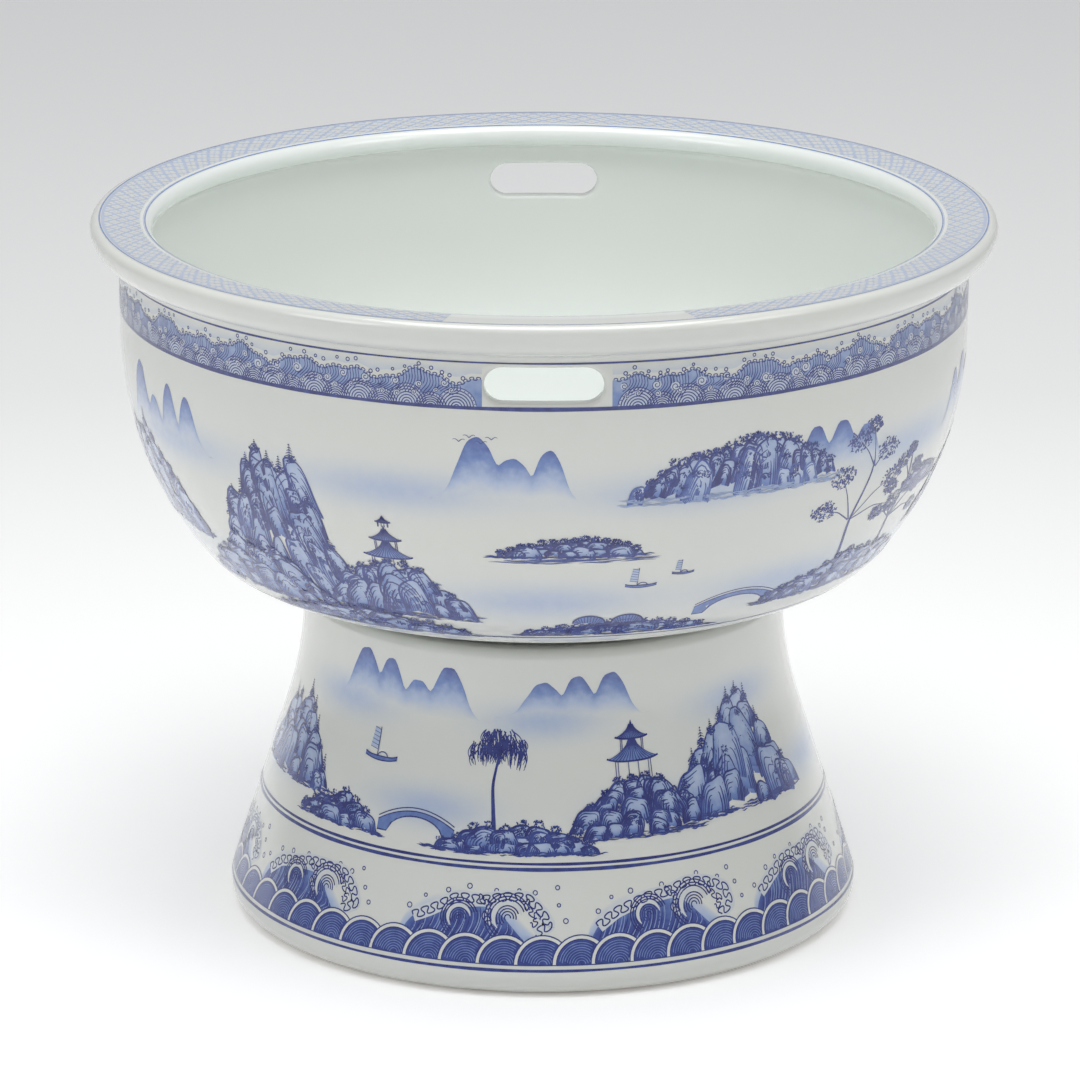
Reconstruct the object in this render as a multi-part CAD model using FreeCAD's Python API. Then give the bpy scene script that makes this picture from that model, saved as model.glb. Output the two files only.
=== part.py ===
"""Porcelain jardiniere on its stand, in millimetres.

Two fired pieces, both turned on a wheel, so each is one closed section swung round the Z axis:
a wide bowl with a rolled lip and two hand slots, and a flared, hollow stand with a recessed seat.
The bowl's foot ring drops into the seat. Z = 0 is the floor, the axis is the centre line,
and the hand slots face -Y and +Y.
"""
import FreeCAD, Part
import os
from math import asin, cos, degrees, hypot, radians, sin, tan

# ---- stand: heights and radii -------------------------------------------------------------
STAND_NECK_R = 172.0        # outer radius just under the bowl
STAND_WALL = 14.0           # wall, measured level
SEAT_Z = 230.0              # top of the seat, which carries the bowl
SEAT_THICK = 14.0           # thickness of the seat's ring
SEAT_HOLE_R = 95.0          # open centre of the seat
SEAT_HOLE_ROUND = 4.0       # softened edge of that opening
RIM_H = 6.0                 # the stand's rim above the seat
RIM_W = 18.0                # width of that rim
RIM_OUT_ROUND = 6.0         # soft outer edge of the rim
RIM_IN_ROUND = 4.0          # soft inner edge of the rim
NECK_STRAIGHT = 8.0         # upright part of the neck, down from the rim's top
FLARE_R = 250.0             # hollow curve from the neck into the flare
FLARE_DEG = 17.65           # slope of the flare from upright
FOOT_ROUND = 16.0           # roll of the foot, down to the floor
FOOT_WIDTH = 12.5           # width of the foot, from the lowest point of its roll to the inner edge
FOOT_BEAD_H = 40.0          # how far up the thick foot reaches on the inside
FOOT_IN_ROUND = 3.0         # softened inner edge of the foot

# ---- bowl: foot, belly and neck -----------------------------------------------------------
SEAT_CLEAR = 2.0            # all-round play of the foot ring in the stand's rim
FOOT_RING_W = 14.0          # width of the foot ring
FOOT_RING_H = 8.0           # foot ring's height, on its outside
FOOT_RING_ROUND = 1.5       # soft edges of the foot ring
RECESS_UP = 2.0             # the base inside the foot ring, above the ring's outer root
FLOOR_THICK = 12.0          # thickness of the bowl's floor
BOWL_WALL = 13.0            # wall of the bowl
NECK_R = 300.0              # outer radius of the upright neck
NECK_H = 49.5               # height of the upright neck
BELLY_R = 242.0             # long curve of the belly, seen from the side
BELLY_DEG = 38.0            # slope at which the belly's curve tightens
SHOULDER_R = 66.0           # tight curve under the belly
SHOULDER_DEG = 74.0         # slope at which that curve runs out into the flat underside

# ---- bowl: rolled lip ---------------------------------------------------------------------
LIP_OUT = 20.0              # the lip's overhang outside the neck
LIP_FILLET = 6.0            # hollow between the neck and the lip
LIP_ROLL_DEG = 80.0         # turn of that hollow before the roll begins
LIP_EDGE_ROUND = 6.0        # roll from the widest point up to the flat top
LIP_FALL_DEG = 4.0          # fall of the lip's top towards the middle
LIP_IN = 11.4               # the lip's overhang inside the neck
LIP_IN_ROUND = 8.0          # bead along the inner edge
LIP_IN_TURN_DEG = 160.0     # turn of that bead, from the top round to its underside

# ---- bowl: the two hand slots ---------------------------------------------------------------
SLOT_W = 80.0               # width across the rounded ends
SLOT_H = 25.0               # height; the ends are half circles of this diameter
SLOT_UNDER_LIP = 3.6        # plain neck between the slot and the lip's hollow
SLOT_ROUND = 2.5            # softened edge, outside and inside
EDGE_TOL = 0.01             # how near to a wall's face the ends of an edge on it lie


class Section:
    """A closed section in the XZ plane, drawn as a chain of lines and arcs."""

    def __init__(self, r, z):
        self.at = (r, z)
        self.edges = []

    def line(self, r, z):
        """A straight run to (r, z)."""
        if hypot(r - self.at[0], z - self.at[1]) > 1e-6:
            self.edges.append(Part.makeLine(vec(*self.at), vec(r, z)))
            self.at = (r, z)

    def arc(self, centre, start_deg, end_deg):
        """A stretch of circle about centre, from the present point, between two angles."""
        radius = hypot(self.at[0] - centre[0], self.at[1] - centre[1])
        middle = polar(centre, radius, (start_deg + end_deg) / 2)
        end = polar(centre, radius, end_deg)
        self.edges.append(Part.Arc(vec(*self.at), vec(*middle), vec(*end)).toShape())
        self.at = end

    def swing(self, r, z):
        """Close the section at its first point (r, z) and swing it round the Z axis."""
        self.line(r, z)
        face = Part.Face(Part.Wire(self.edges))
        return face.revolve(FreeCAD.Vector(0, 0, 0), FreeCAD.Vector(0, 0, 1), 360)


def vec(r, z):
    return FreeCAD.Vector(r, 0, z)


def polar(centre, radius, deg):
    """The point at radius and angle deg about centre; 0 is outwards and 90 is up."""
    a = radians(deg)
    return (centre[0] + radius * cos(a), centre[1] + radius * sin(a))


def foot_ring_radius():
    """Outer radius of the bowl's foot ring: the stand's rim, less its width and the play."""
    return STAND_NECK_R - RIM_W - SEAT_CLEAR


def bowl_heights():
    """Centres of the belly's and the shoulder's curves, worked upwards from the foot ring."""
    b = radians(BELLY_DEG)
    s = radians(SHOULDER_DEG)
    belly_x = NECK_R - BELLY_R
    shoulder_x = belly_x + (BELLY_R - SHOULDER_R) * cos(b)
    run_out_x = shoulder_x + SHOULDER_R * cos(s)
    run_out_z = SEAT_Z + FOOT_RING_H + (run_out_x - foot_ring_radius()) / tan(s)
    shoulder_z = run_out_z + SHOULDER_R * sin(s)
    belly_z = shoulder_z + (BELLY_R - SHOULDER_R) * sin(b)
    return (belly_x, belly_z), (shoulder_x, shoulder_z)


def lip_hollow_z():
    """Height at which the upright neck ends and the lip's hollow begins."""
    return bowl_heights()[0][1] + NECK_H


def draw_lip(section):
    """From the neck's top, over the rolled lip, to the top of the inner wall."""
    t = radians(LIP_ROLL_DEG)
    hollow = (NECK_R + LIP_FILLET, section.at[1])
    section.arc(hollow, 180, 180 - LIP_ROLL_DEG)
    roll = (LIP_OUT - LIP_FILLET * (1 - cos(t))) / (1 - cos(t))
    centre = (section.at[0] - roll * cos(t), section.at[1] + roll * sin(t))
    section.arc(centre, -LIP_ROLL_DEG, 0)

    top_deg = 90 + LIP_FALL_DEG
    edge = (section.at[0] - LIP_EDGE_ROUND, section.at[1])
    section.arc(edge, 0, top_deg)

    inner_x = NECK_R - BOWL_WALL - LIP_IN
    bead_x = inner_x + LIP_IN_ROUND
    up = (cos(radians(top_deg)), sin(radians(top_deg)))
    run = (section.at[0] - LIP_IN_ROUND * up[0] - bead_x) / cos(radians(LIP_FALL_DEG))
    start = (section.at[0] - run * up[1], section.at[1] + run * up[0])
    section.line(*start)
    bead = (start[0] - LIP_IN_ROUND * up[0], start[1] - LIP_IN_ROUND * up[1])
    under_deg = top_deg + LIP_IN_TURN_DEG
    section.arc(bead, top_deg, under_deg)

    back = radians(under_deg - 180)
    wall_x = NECK_R - BOWL_WALL
    hollow_r = (wall_x - section.at[0]) / (1 - cos(back))
    centre = (wall_x - hollow_r, section.at[1] - hollow_r * sin(back))
    section.arc(centre, under_deg - 180, 0)


def make_bowl():
    """The bowl's closed section, from the middle of its base, up outside and down inside."""
    belly, shoulder = bowl_heights()
    ring_r = foot_ring_radius()
    root_z = SEAT_Z + FOOT_RING_H
    recess_z = root_z + RECESS_UP
    ring_in = ring_r - FOOT_RING_W
    e = FOOT_RING_ROUND

    s = Section(0, recess_z)
    s.line(ring_in, recess_z)
    s.line(ring_in, SEAT_Z + e)
    s.arc((ring_in + e, SEAT_Z + e), 180, 270)
    s.line(ring_r - e, SEAT_Z)
    s.arc((ring_r - e, SEAT_Z + e), -90, 0)
    s.line(ring_r, root_z)
    s.line(*polar(shoulder, SHOULDER_R, -SHOULDER_DEG))
    s.arc(shoulder, -SHOULDER_DEG, -BELLY_DEG)
    s.arc(belly, -BELLY_DEG, 0)
    s.line(NECK_R, lip_hollow_z())
    draw_lip(s)

    s.line(NECK_R - BOWL_WALL, belly[1])
    s.arc(belly, 0, -BELLY_DEG)
    s.arc(shoulder, -BELLY_DEG, -SHOULDER_DEG)
    floor_z = recess_z + FLOOR_THICK
    s.line(s.at[0] - (s.at[1] - floor_z) * tan(radians(SHOULDER_DEG)), floor_z)
    s.line(0, floor_z)
    return s.swing(0, recess_z)


def slot_middle_z():
    """Height of the slots' centre line, measured down from the lip's hollow."""
    return lip_hollow_z() - SLOT_UNDER_LIP - SLOT_H / 2


def slot_cutter(side):
    """A level bar with round ends that goes through one wall; side is -1 for -Y, 1 for +Y."""
    r = SLOT_H / 2
    x = SLOT_W / 2 - r
    z = slot_middle_z()
    spare = 2 * BOWL_WALL
    y = side * (NECK_R - BOWL_WALL - spare)

    def at(px, pz):
        return FreeCAD.Vector(px, y, z + pz)

    wire = Part.Wire([
        Part.makeLine(at(-x, -r), at(x, -r)),
        Part.Arc(at(x, -r), at(x + r, 0), at(x, r)).toShape(),
        Part.makeLine(at(x, r), at(-x, r)),
        Part.Arc(at(-x, r), at(-x - r, 0), at(-x, -r)).toShape()])
    return Part.Face(wire).extrude(FreeCAD.Vector(0, side * (BOWL_WALL + 2 * spare), 0))


def slot_rims(bowl):
    """The edges that the slots leave on the outer and the inner face of the neck's wall."""
    rims = []
    for edge in bowl.Edges:
        centre = edge.BoundBox.Center
        radii = [hypot(v.X, v.Y) for v in edge.Vertexes]
        in_width = abs(centre.x) < SLOT_W / 2
        in_height = abs(centre.z - slot_middle_z()) < SLOT_H / 2 + EDGE_TOL
        outside = all(abs(r - NECK_R) < EDGE_TOL for r in radii)
        inside = all(abs(r - NECK_R + BOWL_WALL) < EDGE_TOL for r in radii)
        if in_width and in_height and (outside or inside):
            rims.append(edge)
    return rims


def cut_slots(bowl):
    """Both hand slots, with their edges softened outside and inside, as the glaze leaves them."""
    for side in (-1, 1):
        bowl = bowl.cut(slot_cutter(side))
    return bowl.makeFillet(SLOT_ROUND, slot_rims(bowl)).Solids[0]


def make_stand():
    """The stand's closed section, from the seat's opening, out over the rim and down the flare."""
    rim_z = SEAT_Z + RIM_H
    rim_in = STAND_NECK_R - RIM_W
    flare_z = rim_z - NECK_STRAIGHT
    centre = (STAND_NECK_R + FLARE_R, flare_z)
    turn = 180 + FLARE_DEG
    h = SEAT_HOLE_ROUND
    under_z = SEAT_Z - SEAT_THICK

    s = Section(SEAT_HOLE_R, SEAT_Z - h)
    s.arc((SEAT_HOLE_R + h, SEAT_Z - h), 180, 90)
    s.line(rim_in, SEAT_Z)
    s.line(rim_in, rim_z - RIM_IN_ROUND)
    s.arc((rim_in + RIM_IN_ROUND, rim_z - RIM_IN_ROUND), 180, 90)
    s.line(STAND_NECK_R - RIM_OUT_ROUND, rim_z)
    s.arc((STAND_NECK_R - RIM_OUT_ROUND, rim_z - RIM_OUT_ROUND), 90, 0)
    s.line(STAND_NECK_R, flare_z)
    s.arc(centre, 180, turn)

    slope = radians(FLARE_DEG)
    touch_z = FOOT_ROUND * (1 + sin(slope))
    s.line(s.at[0] + (s.at[1] - touch_z) * tan(slope), touch_z)
    foot = (s.at[0] - FOOT_ROUND * cos(slope), FOOT_ROUND)
    s.arc(foot, FLARE_DEG, -90)

    inner = Section(STAND_NECK_R - STAND_WALL, flare_z)
    inner.arc(centre, 180, turn)
    bead_r = inner.at[0] + (inner.at[1] - FOOT_BEAD_H) * tan(slope)
    foot_in = foot[0] - FOOT_WIDTH
    s.line(foot_in + FOOT_IN_ROUND, 0)
    s.arc((foot_in + FOOT_IN_ROUND, FOOT_IN_ROUND), -90, -180)
    s.line(bead_r, FOOT_BEAD_H)
    s.line(*inner.at)

    inner_r = FLARE_R + STAND_WALL
    under_deg = 180 + degrees(asin((flare_z - under_z) / inner_r))
    s.arc(centre, turn, under_deg)
    s.line(SEAT_HOLE_R + h, s.at[1])
    s.arc((SEAT_HOLE_R + h, under_z + h), -90, -180)
    return s.swing(SEAT_HOLE_R, SEAT_Z - h)


def main():
    os.makedirs("parts", exist_ok=True)
    pieces = {"bowl": cut_slots(make_bowl()), "stand": make_stand()}
    for name, shape in pieces.items():
        shape.exportStep("parts/" + name + ".step")
        box = shape.optimalBoundingBox(False)
        print(name, shape.ShapeType, "valid", shape.isValid(), "volume %.3f l" % (shape.Volume / 1e6),
              "radius %.2f" % box.XMax, "z %.2f to %.2f" % (box.ZMin, box.ZMax))


main()
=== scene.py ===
# %% [markdown]
# # A blue and white porcelain jardiniere on its stand
# The object is two fired pieces: a wide bowl with a rolled lip and two hand slots, and a flared, hollow stand.
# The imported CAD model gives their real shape. This script dresses them: it turns two fine shells that follow
# the same sections, and lays the painting on them, stroke by stroke, the way a painter works with cobalt
# under a clear glaze. Everything is in metres in the file and in millimetres in the formulas.

import math

import bpy
import numpy as np
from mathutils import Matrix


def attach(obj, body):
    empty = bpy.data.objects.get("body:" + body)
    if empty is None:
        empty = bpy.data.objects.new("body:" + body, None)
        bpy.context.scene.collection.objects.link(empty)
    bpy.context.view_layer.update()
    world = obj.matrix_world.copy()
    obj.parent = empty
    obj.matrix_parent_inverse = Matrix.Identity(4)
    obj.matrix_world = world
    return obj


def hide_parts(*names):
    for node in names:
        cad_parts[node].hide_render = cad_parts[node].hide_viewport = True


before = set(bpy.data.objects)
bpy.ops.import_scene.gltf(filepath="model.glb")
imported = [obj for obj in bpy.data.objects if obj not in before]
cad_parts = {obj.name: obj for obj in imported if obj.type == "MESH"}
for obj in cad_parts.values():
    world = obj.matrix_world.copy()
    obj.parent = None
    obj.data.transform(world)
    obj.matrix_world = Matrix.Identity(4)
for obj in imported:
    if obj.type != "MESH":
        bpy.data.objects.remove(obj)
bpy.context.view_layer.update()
MM = 0.001

# %% [markdown]
# ## Meshes from arrays
# A modelled surface is a table of points and a table of faces. Blender could build them one by one, but whole
# arrays are quicker and easier to read, so one helper takes points in millimetres, faces as rows of point
# numbers, and any painted values, and makes a finished, smooth-shaded object at the origin.

# %% A mesh from arrays
def add_mesh(name, points, face_tables, painted=None):
    """Puts points (millimetres) and faces into a new object.

    face_tables holds arrays of point numbers, one row per face; painted maps names to one value per point.
    """
    face_tables = [np.asarray(table) for table in face_tables if len(table)]
    sizes = np.concatenate([np.full(len(table), table.shape[1]) for table in face_tables])
    corners = np.concatenate([table.ravel() for table in face_tables])
    mesh = bpy.data.meshes.new(name)
    mesh.vertices.add(len(points))
    mesh.vertices.foreach_set("co", (points * MM).astype(np.float32).ravel())
    mesh.loops.add(len(corners))
    mesh.loops.foreach_set("vertex_index", corners.astype(np.int32))
    mesh.polygons.add(len(sizes))
    mesh.polygons.foreach_set("loop_start", (np.cumsum(sizes) - sizes).astype(np.int32))
    mesh.polygons.foreach_set("use_smooth", np.ones(len(sizes), bool))
    mesh.update(calc_edges=True)
    for value_name, values in (painted or {}).items():
        attribute = mesh.attributes.new(value_name, "FLOAT", "POINT")
        attribute.data.foreach_set("value", np.asarray(values, np.float32).ravel())
    mesh.validate()
    piece = bpy.data.objects.new(name, mesh)
    bpy.context.scene.collection.objects.link(piece)
    print(name, len(points), "points", int((sizes - 2).sum()), "triangles")
    return piece


def grid_faces(rows, columns, first=0, wrap=False):
    """Quads between neighbouring rows and columns of a grid whose points are numbered row by row."""
    row = np.arange(rows - 1)[:, None]
    column = np.arange(columns if wrap else columns - 1)[None, :]
    after = (column + 1) % columns
    quads = np.stack([row * columns + column, row * columns + after,
                      (row + 1) * columns + after, (row + 1) * columns + column], axis=-1)
    return first + quads.reshape(-1, 4)


# %% [markdown]
# ## The sections
# Both pieces are thrown on a wheel, so each is one outline swung round the centre line. The outline is a
# chain of straight runs and arcs with the sizes that the CAD model has. A potter would call them the foot
# ring, the belly, the neck and the rolled lip of the bowl, and the seat, the flare and the foot of the stand.

# %% Arcs and runs
def arc(centre, radius, start_deg, end_deg, count):
    """A stretch of circle: the centre plus the radius times the cosine and sine of evenly spaced angles."""
    a = np.radians(np.linspace(start_deg, end_deg, count + 1))
    return np.column_stack([centre[0] + radius * np.cos(a), centre[1] + radius * np.sin(a)])


def run(start, end, count):
    """A straight run: the start plus an even share of the way to the end."""
    share = np.linspace(0, 1, count + 1)[:, None]
    return np.asarray(start) * (1 - share) + np.asarray(end) * share


def chain(*stretches):
    """Joins stretches end to end, leaving out the point that two neighbours share."""
    kept = [stretches[0]]
    for before, after in zip(stretches, stretches[1:]):
        shared = np.hypot(*(before[-1] - after[0])) < 1e-6
        kept.append(after[1:] if shared else after)
    return np.concatenate(kept)


def polar(centre, radius, deg):
    """The point at this radius and angle about centre; 0 is outwards and 90 is up."""
    return np.array([centre[0] + radius * math.cos(math.radians(deg)),
                     centre[1] + radius * math.sin(math.radians(deg))])


# %% Sizes of the bowl, in millimetres
SEAT_Z = 230.0
RING_R, RING_W, RING_H, RING_ROUND = 152.0, 14.0, 8.0, 1.5
RECESS_UP, FLOOR_THICK, BOWL_WALL = 2.0, 12.0, 13.0
NECK_R, NECK_H = 300.0, 49.5
BELLY_R, BELLY_DEG = 242.0, 38.0
SHOULDER_R, SHOULDER_DEG = 66.0, 74.0
LIP_OUT, LIP_FILLET, LIP_ROLL_DEG, LIP_EDGE_ROUND = 20.0, 6.0, 80.0, 6.0
LIP_FALL_DEG, LIP_IN, LIP_IN_ROUND, LIP_IN_TURN_DEG = 4.0, 11.4, 8.0, 160.0
SLOT_W, SLOT_H, SLOT_UNDER_LIP, SLOT_ROUND = 80.0, 25.0, 3.6, 2.5

belly_sin, belly_cos = math.sin(math.radians(BELLY_DEG)), math.cos(math.radians(BELLY_DEG))
shoulder_sin, shoulder_cos = math.sin(math.radians(SHOULDER_DEG)), math.cos(math.radians(SHOULDER_DEG))
belly_x = NECK_R - BELLY_R
shoulder_x = belly_x + (BELLY_R - SHOULDER_R) * belly_cos
run_out_x = shoulder_x + SHOULDER_R * shoulder_cos
run_out_z = SEAT_Z + RING_H + (run_out_x - RING_R) * shoulder_cos / shoulder_sin
SHOULDER = (shoulder_x, run_out_z + SHOULDER_R * shoulder_sin)
BELLY = (belly_x, SHOULDER[1] + (BELLY_R - SHOULDER_R) * belly_sin)
NECK_TOP = BELLY[1] + NECK_H
SLOT_MIDDLE = NECK_TOP - SLOT_UNDER_LIP - SLOT_H / 2
WALL_R = NECK_R - BOWL_WALL
WINDOW_LOW = SLOT_MIDDLE - SLOT_H / 2 - 7.0
WINDOW_ROWS = 10
print("belly centre", BELLY, "shoulder centre", SHOULDER, "neck top", NECK_TOP)

# %% Outline of the bowl
def lip_stretches():
    """The lip from the neck's top outwards, over the top, and in to the upright inner wall."""
    t = math.radians(LIP_ROLL_DEG)
    hollow = (NECK_R + LIP_FILLET, NECK_TOP)
    stretches = [arc(hollow, LIP_FILLET, 180, 180 - LIP_ROLL_DEG, 6)]
    roll = (LIP_OUT - LIP_FILLET * (1 - math.cos(t))) / (1 - math.cos(t))
    start = stretches[-1][-1]
    stretches.append(arc(start + roll * np.array([-math.cos(t), math.sin(t)]), roll, -LIP_ROLL_DEG, 0, 12))
    top_deg = 90 + LIP_FALL_DEG
    widest = stretches[-1][-1]
    stretches.append(arc(widest - [LIP_EDGE_ROUND, 0], LIP_EDGE_ROUND, 0, top_deg, 8))
    up = np.array([math.cos(math.radians(top_deg)), math.sin(math.radians(top_deg))])
    bead_x = WALL_R - LIP_IN + LIP_IN_ROUND
    top = stretches[-1][-1]
    reach = (top[0] - LIP_IN_ROUND * up[0] - bead_x) / math.cos(math.radians(LIP_FALL_DEG))
    inner = top + reach * np.array([-up[1], up[0]])
    stretches.append(run(top, inner, 10))
    under_deg = top_deg + LIP_IN_TURN_DEG
    stretches.append(arc(inner - LIP_IN_ROUND * up, LIP_IN_ROUND, top_deg, under_deg, 12))
    back = math.radians(under_deg - 180)
    end = stretches[-1][-1]
    hollow_r = (WALL_R - end[0]) / (1 - math.cos(back))
    centre = (WALL_R - hollow_r, end[1] - hollow_r * math.sin(back))
    stretches.append(arc(centre, hollow_r, under_deg - 180, 0, 4))
    return stretches


def bowl_outline():
    """From the middle of the base, out under the foot ring, up outside, over the lip and down inside."""
    root_z, floor_z = SEAT_Z + RING_H, SEAT_Z + RING_H + RECESS_UP + FLOOR_THICK
    recess_z, ring_in, e = root_z + RECESS_UP, RING_R - RING_W, RING_ROUND
    lip = lip_stretches()
    inner_shoulder = arc(SHOULDER, SHOULDER_R - BOWL_WALL, -BELLY_DEG, -SHOULDER_DEG, 7)
    floor_edge = inner_shoulder[-1][0] - (inner_shoulder[-1][1] - floor_z) * shoulder_sin / shoulder_cos
    return chain(
        run((2, recess_z), (ring_in, recess_z), 6),
        run((ring_in, recess_z), (ring_in, SEAT_Z + e), 2),
        arc((ring_in + e, SEAT_Z + e), e, 180, 270, 2),
        run((ring_in + e, SEAT_Z), (RING_R - e, SEAT_Z), 2),
        arc((RING_R - e, SEAT_Z + e), e, -90, 0, 2),
        run((RING_R, SEAT_Z + e), (RING_R, root_z), 1),
        run((RING_R, root_z), polar(SHOULDER, SHOULDER_R, -SHOULDER_DEG), 12),
        arc(SHOULDER, SHOULDER_R, -SHOULDER_DEG, -BELLY_DEG, 12),
        arc(BELLY, BELLY_R, -BELLY_DEG, 0, 48),
        run((NECK_R, BELLY[1]), (NECK_R, WINDOW_LOW), 4),
        run((NECK_R, WINDOW_LOW), (NECK_R, NECK_TOP), WINDOW_ROWS),
        *lip,
        run(lip[-1][-1], (WALL_R, NECK_TOP), 1),
        run((WALL_R, NECK_TOP), (WALL_R, WINDOW_LOW), WINDOW_ROWS),
        run((WALL_R, WINDOW_LOW), (WALL_R, BELLY[1]), 3),
        arc(BELLY, BELLY_R - BOWL_WALL, 0, -BELLY_DEG, 26),
        inner_shoulder,
        run(inner_shoulder[-1], (floor_edge, floor_z), 2),
        run((floor_edge, floor_z), (2, floor_z), 8))


bowl_line = bowl_outline()
print("bowl outline", len(bowl_line), "points, from", bowl_line.min(0), "to", bowl_line.max(0))

# %% Outline of the stand, with its own sizes
STAND_R, STAND_WALL, SEAT_THICK, SEAT_HOLE_R, SEAT_HOLE_ROUND = 172.0, 14.0, 14.0, 95.0, 4.0
RIM_H, RIM_W, RIM_OUT_ROUND, RIM_IN_ROUND = 6.0, 18.0, 6.0, 4.0
NECK_STRAIGHT, FLARE_R, FLARE_DEG = 8.0, 250.0, 17.65
FOOT_ROUND, FOOT_WIDTH, FOOT_BEAD_H, FOOT_IN_ROUND = 16.0, 12.5, 40.0, 3.0


def stand_outline():
    """A closed outline: from the foot up outside, over the rim, across the seat and down the hollow inside."""
    rim_z, rim_in, h = SEAT_Z + RIM_H, STAND_R - RIM_W, SEAT_HOLE_ROUND
    flare_z = rim_z - NECK_STRAIGHT
    centre = (STAND_R + FLARE_R, flare_z)
    slope = math.radians(FLARE_DEG)
    outer = arc(centre, FLARE_R, 180, 180 + FLARE_DEG, 24)
    touch_z = FOOT_ROUND * (1 + math.sin(slope))
    touch = (outer[-1][0] + (outer[-1][1] - touch_z) * math.tan(slope), touch_z)
    foot = (touch[0] - FOOT_ROUND * math.cos(slope), FOOT_ROUND)
    under_z = SEAT_Z - SEAT_THICK
    inner_r = FLARE_R + STAND_WALL
    under_deg = 180 + math.degrees(math.asin((flare_z - under_z) / inner_r))
    inner = arc(centre, inner_r, under_deg, 180 + FLARE_DEG, 12)
    bead_r = inner[-1][0] + (inner[-1][1] - FOOT_BEAD_H) * math.tan(slope)
    foot_in = foot[0] - FOOT_WIDTH
    return chain(
        arc(foot, FOOT_ROUND, -90, FLARE_DEG, 12),
        run(touch, outer[-1], 44),
        outer[::-1],
        run((STAND_R, flare_z), (STAND_R, rim_z - RIM_OUT_ROUND), 1),
        arc((STAND_R - RIM_OUT_ROUND, rim_z - RIM_OUT_ROUND), RIM_OUT_ROUND, 0, 90, 6),
        run((STAND_R - RIM_OUT_ROUND, rim_z), (rim_in + RIM_IN_ROUND, rim_z), 2),
        arc((rim_in + RIM_IN_ROUND, rim_z - RIM_IN_ROUND), RIM_IN_ROUND, 90, 180, 4),
        run((rim_in, rim_z - RIM_IN_ROUND), (rim_in, SEAT_Z), 1),
        run((rim_in, SEAT_Z), (SEAT_HOLE_R + h, SEAT_Z), 6),
        arc((SEAT_HOLE_R + h, SEAT_Z - h), h, 90, 180, 4),
        run((SEAT_HOLE_R, SEAT_Z - h), (SEAT_HOLE_R, under_z + h), 2),
        arc((SEAT_HOLE_R + h, under_z + h), h, 180, 270, 4),
        run((SEAT_HOLE_R + h, under_z), inner[0], 4),
        inner,
        run(inner[-1], (bead_r, FOOT_BEAD_H), 8),
        run((bead_r, FOOT_BEAD_H), (foot_in, FOOT_IN_ROUND), 4),
        arc((foot_in + FOOT_IN_ROUND, FOOT_IN_ROUND), FOOT_IN_ROUND, 180, 270, 3),
        run((foot_in + FOOT_IN_ROUND, 0), (foot[0], 0), 2))[:-1]


stand_line = stand_outline()
print("stand outline", len(stand_line), "points, from", stand_line.min(0), "to", stand_line.max(0))

# %% [markdown]
# ## Places on the glaze
# The painting follows the pot. Every mark is planned on flat paper, as millimetres to the right and
# millimetres up, and then bent onto the surface: to the right becomes an angle round the axis, and up becomes
# a length along the outline. An object that knows the outline turns such places into points and normals.

# %% From flat paper to the pot
class Face:
    """A painted face of revolution: a stretch of outline, measured by its length t from the low end."""

    def __init__(self, outline):
        self.r, self.z = outline[:, 0], outline[:, 1]
        step = np.hypot(np.diff(self.r), np.diff(self.z))
        self.t = np.concatenate([[0], np.cumsum(step)])
        slope_r, slope_z = np.gradient(self.r, self.t), np.gradient(self.z, self.t)
        size = np.hypot(slope_r, slope_z)
        self.out_r, self.out_z = slope_z / size, -slope_r / size

    def t_at(self, z):
        """Length along the outline at height z."""
        return np.interp(z, self.z, self.t)

    def r_at(self, t):
        return np.interp(t, self.t, self.r)

    def z_at(self, t):
        return np.interp(t, self.t, self.z)

    def bend(self, angle, t, lift):
        """Points at angle (radians, 0 in front, growing to the right) and length t, lifted along the normal."""
        out_r, out_z = np.interp(t, self.t, self.out_r), np.interp(t, self.t, self.out_z)
        radius = self.r_at(t) + lift * out_r
        point = np.stack([radius * np.sin(angle), -radius * np.cos(angle), self.z_at(t) + lift * out_z], -1)
        normal = np.stack([out_r * np.sin(angle), -out_r * np.cos(angle), out_z], -1)
        return point, normal


def fine(outline, low, high, gap=0.5):
    """The part of an outline between two point numbers, as close points evenly spread by length."""
    part = outline[low:high + 1]
    length = np.concatenate([[0], np.cumsum(np.hypot(*np.diff(part, axis=0).T))])
    even = np.linspace(0, length[-1], int(length[-1] / gap))
    return np.column_stack([np.interp(even, length, part[:, 0]), np.interp(even, length, part[:, 1])])


def row_of(outline, r, z):
    """The number of the outline's point nearest to (r, z)."""
    return int(np.argmin(np.hypot(outline[:, 0] - r, outline[:, 1] - z)))


lip_rows = lip_stretches()
lip_top_out, lip_top_in = lip_rows[3][0], lip_rows[3][-1]
body_face = Face(fine(bowl_line, row_of(bowl_line, RING_R, SEAT_Z + RING_H), row_of(bowl_line, NECK_R, NECK_TOP)))
rim_face = Face(fine(bowl_line, row_of(bowl_line, *lip_top_out) - 4, row_of(bowl_line, *lip_top_in) + 4))
stand_face = Face(fine(stand_line, 0, row_of(stand_line, STAND_R, SEAT_Z - 2)))
print("painted lengths", body_face.t[-1], rim_face.t[-1], stand_face.t[-1])

# %% [markdown]
# ## Soft cobalt washes
# Cobalt thinned with water gives the mist between the hills and the water under the banks. These washes have
# no edge, so they belong to the glaze shell itself: a value from 0 to 1 at each of its points, the sum of
# soft round patches. Anything painted later can ask for the value beneath it and blend into it.

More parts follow.
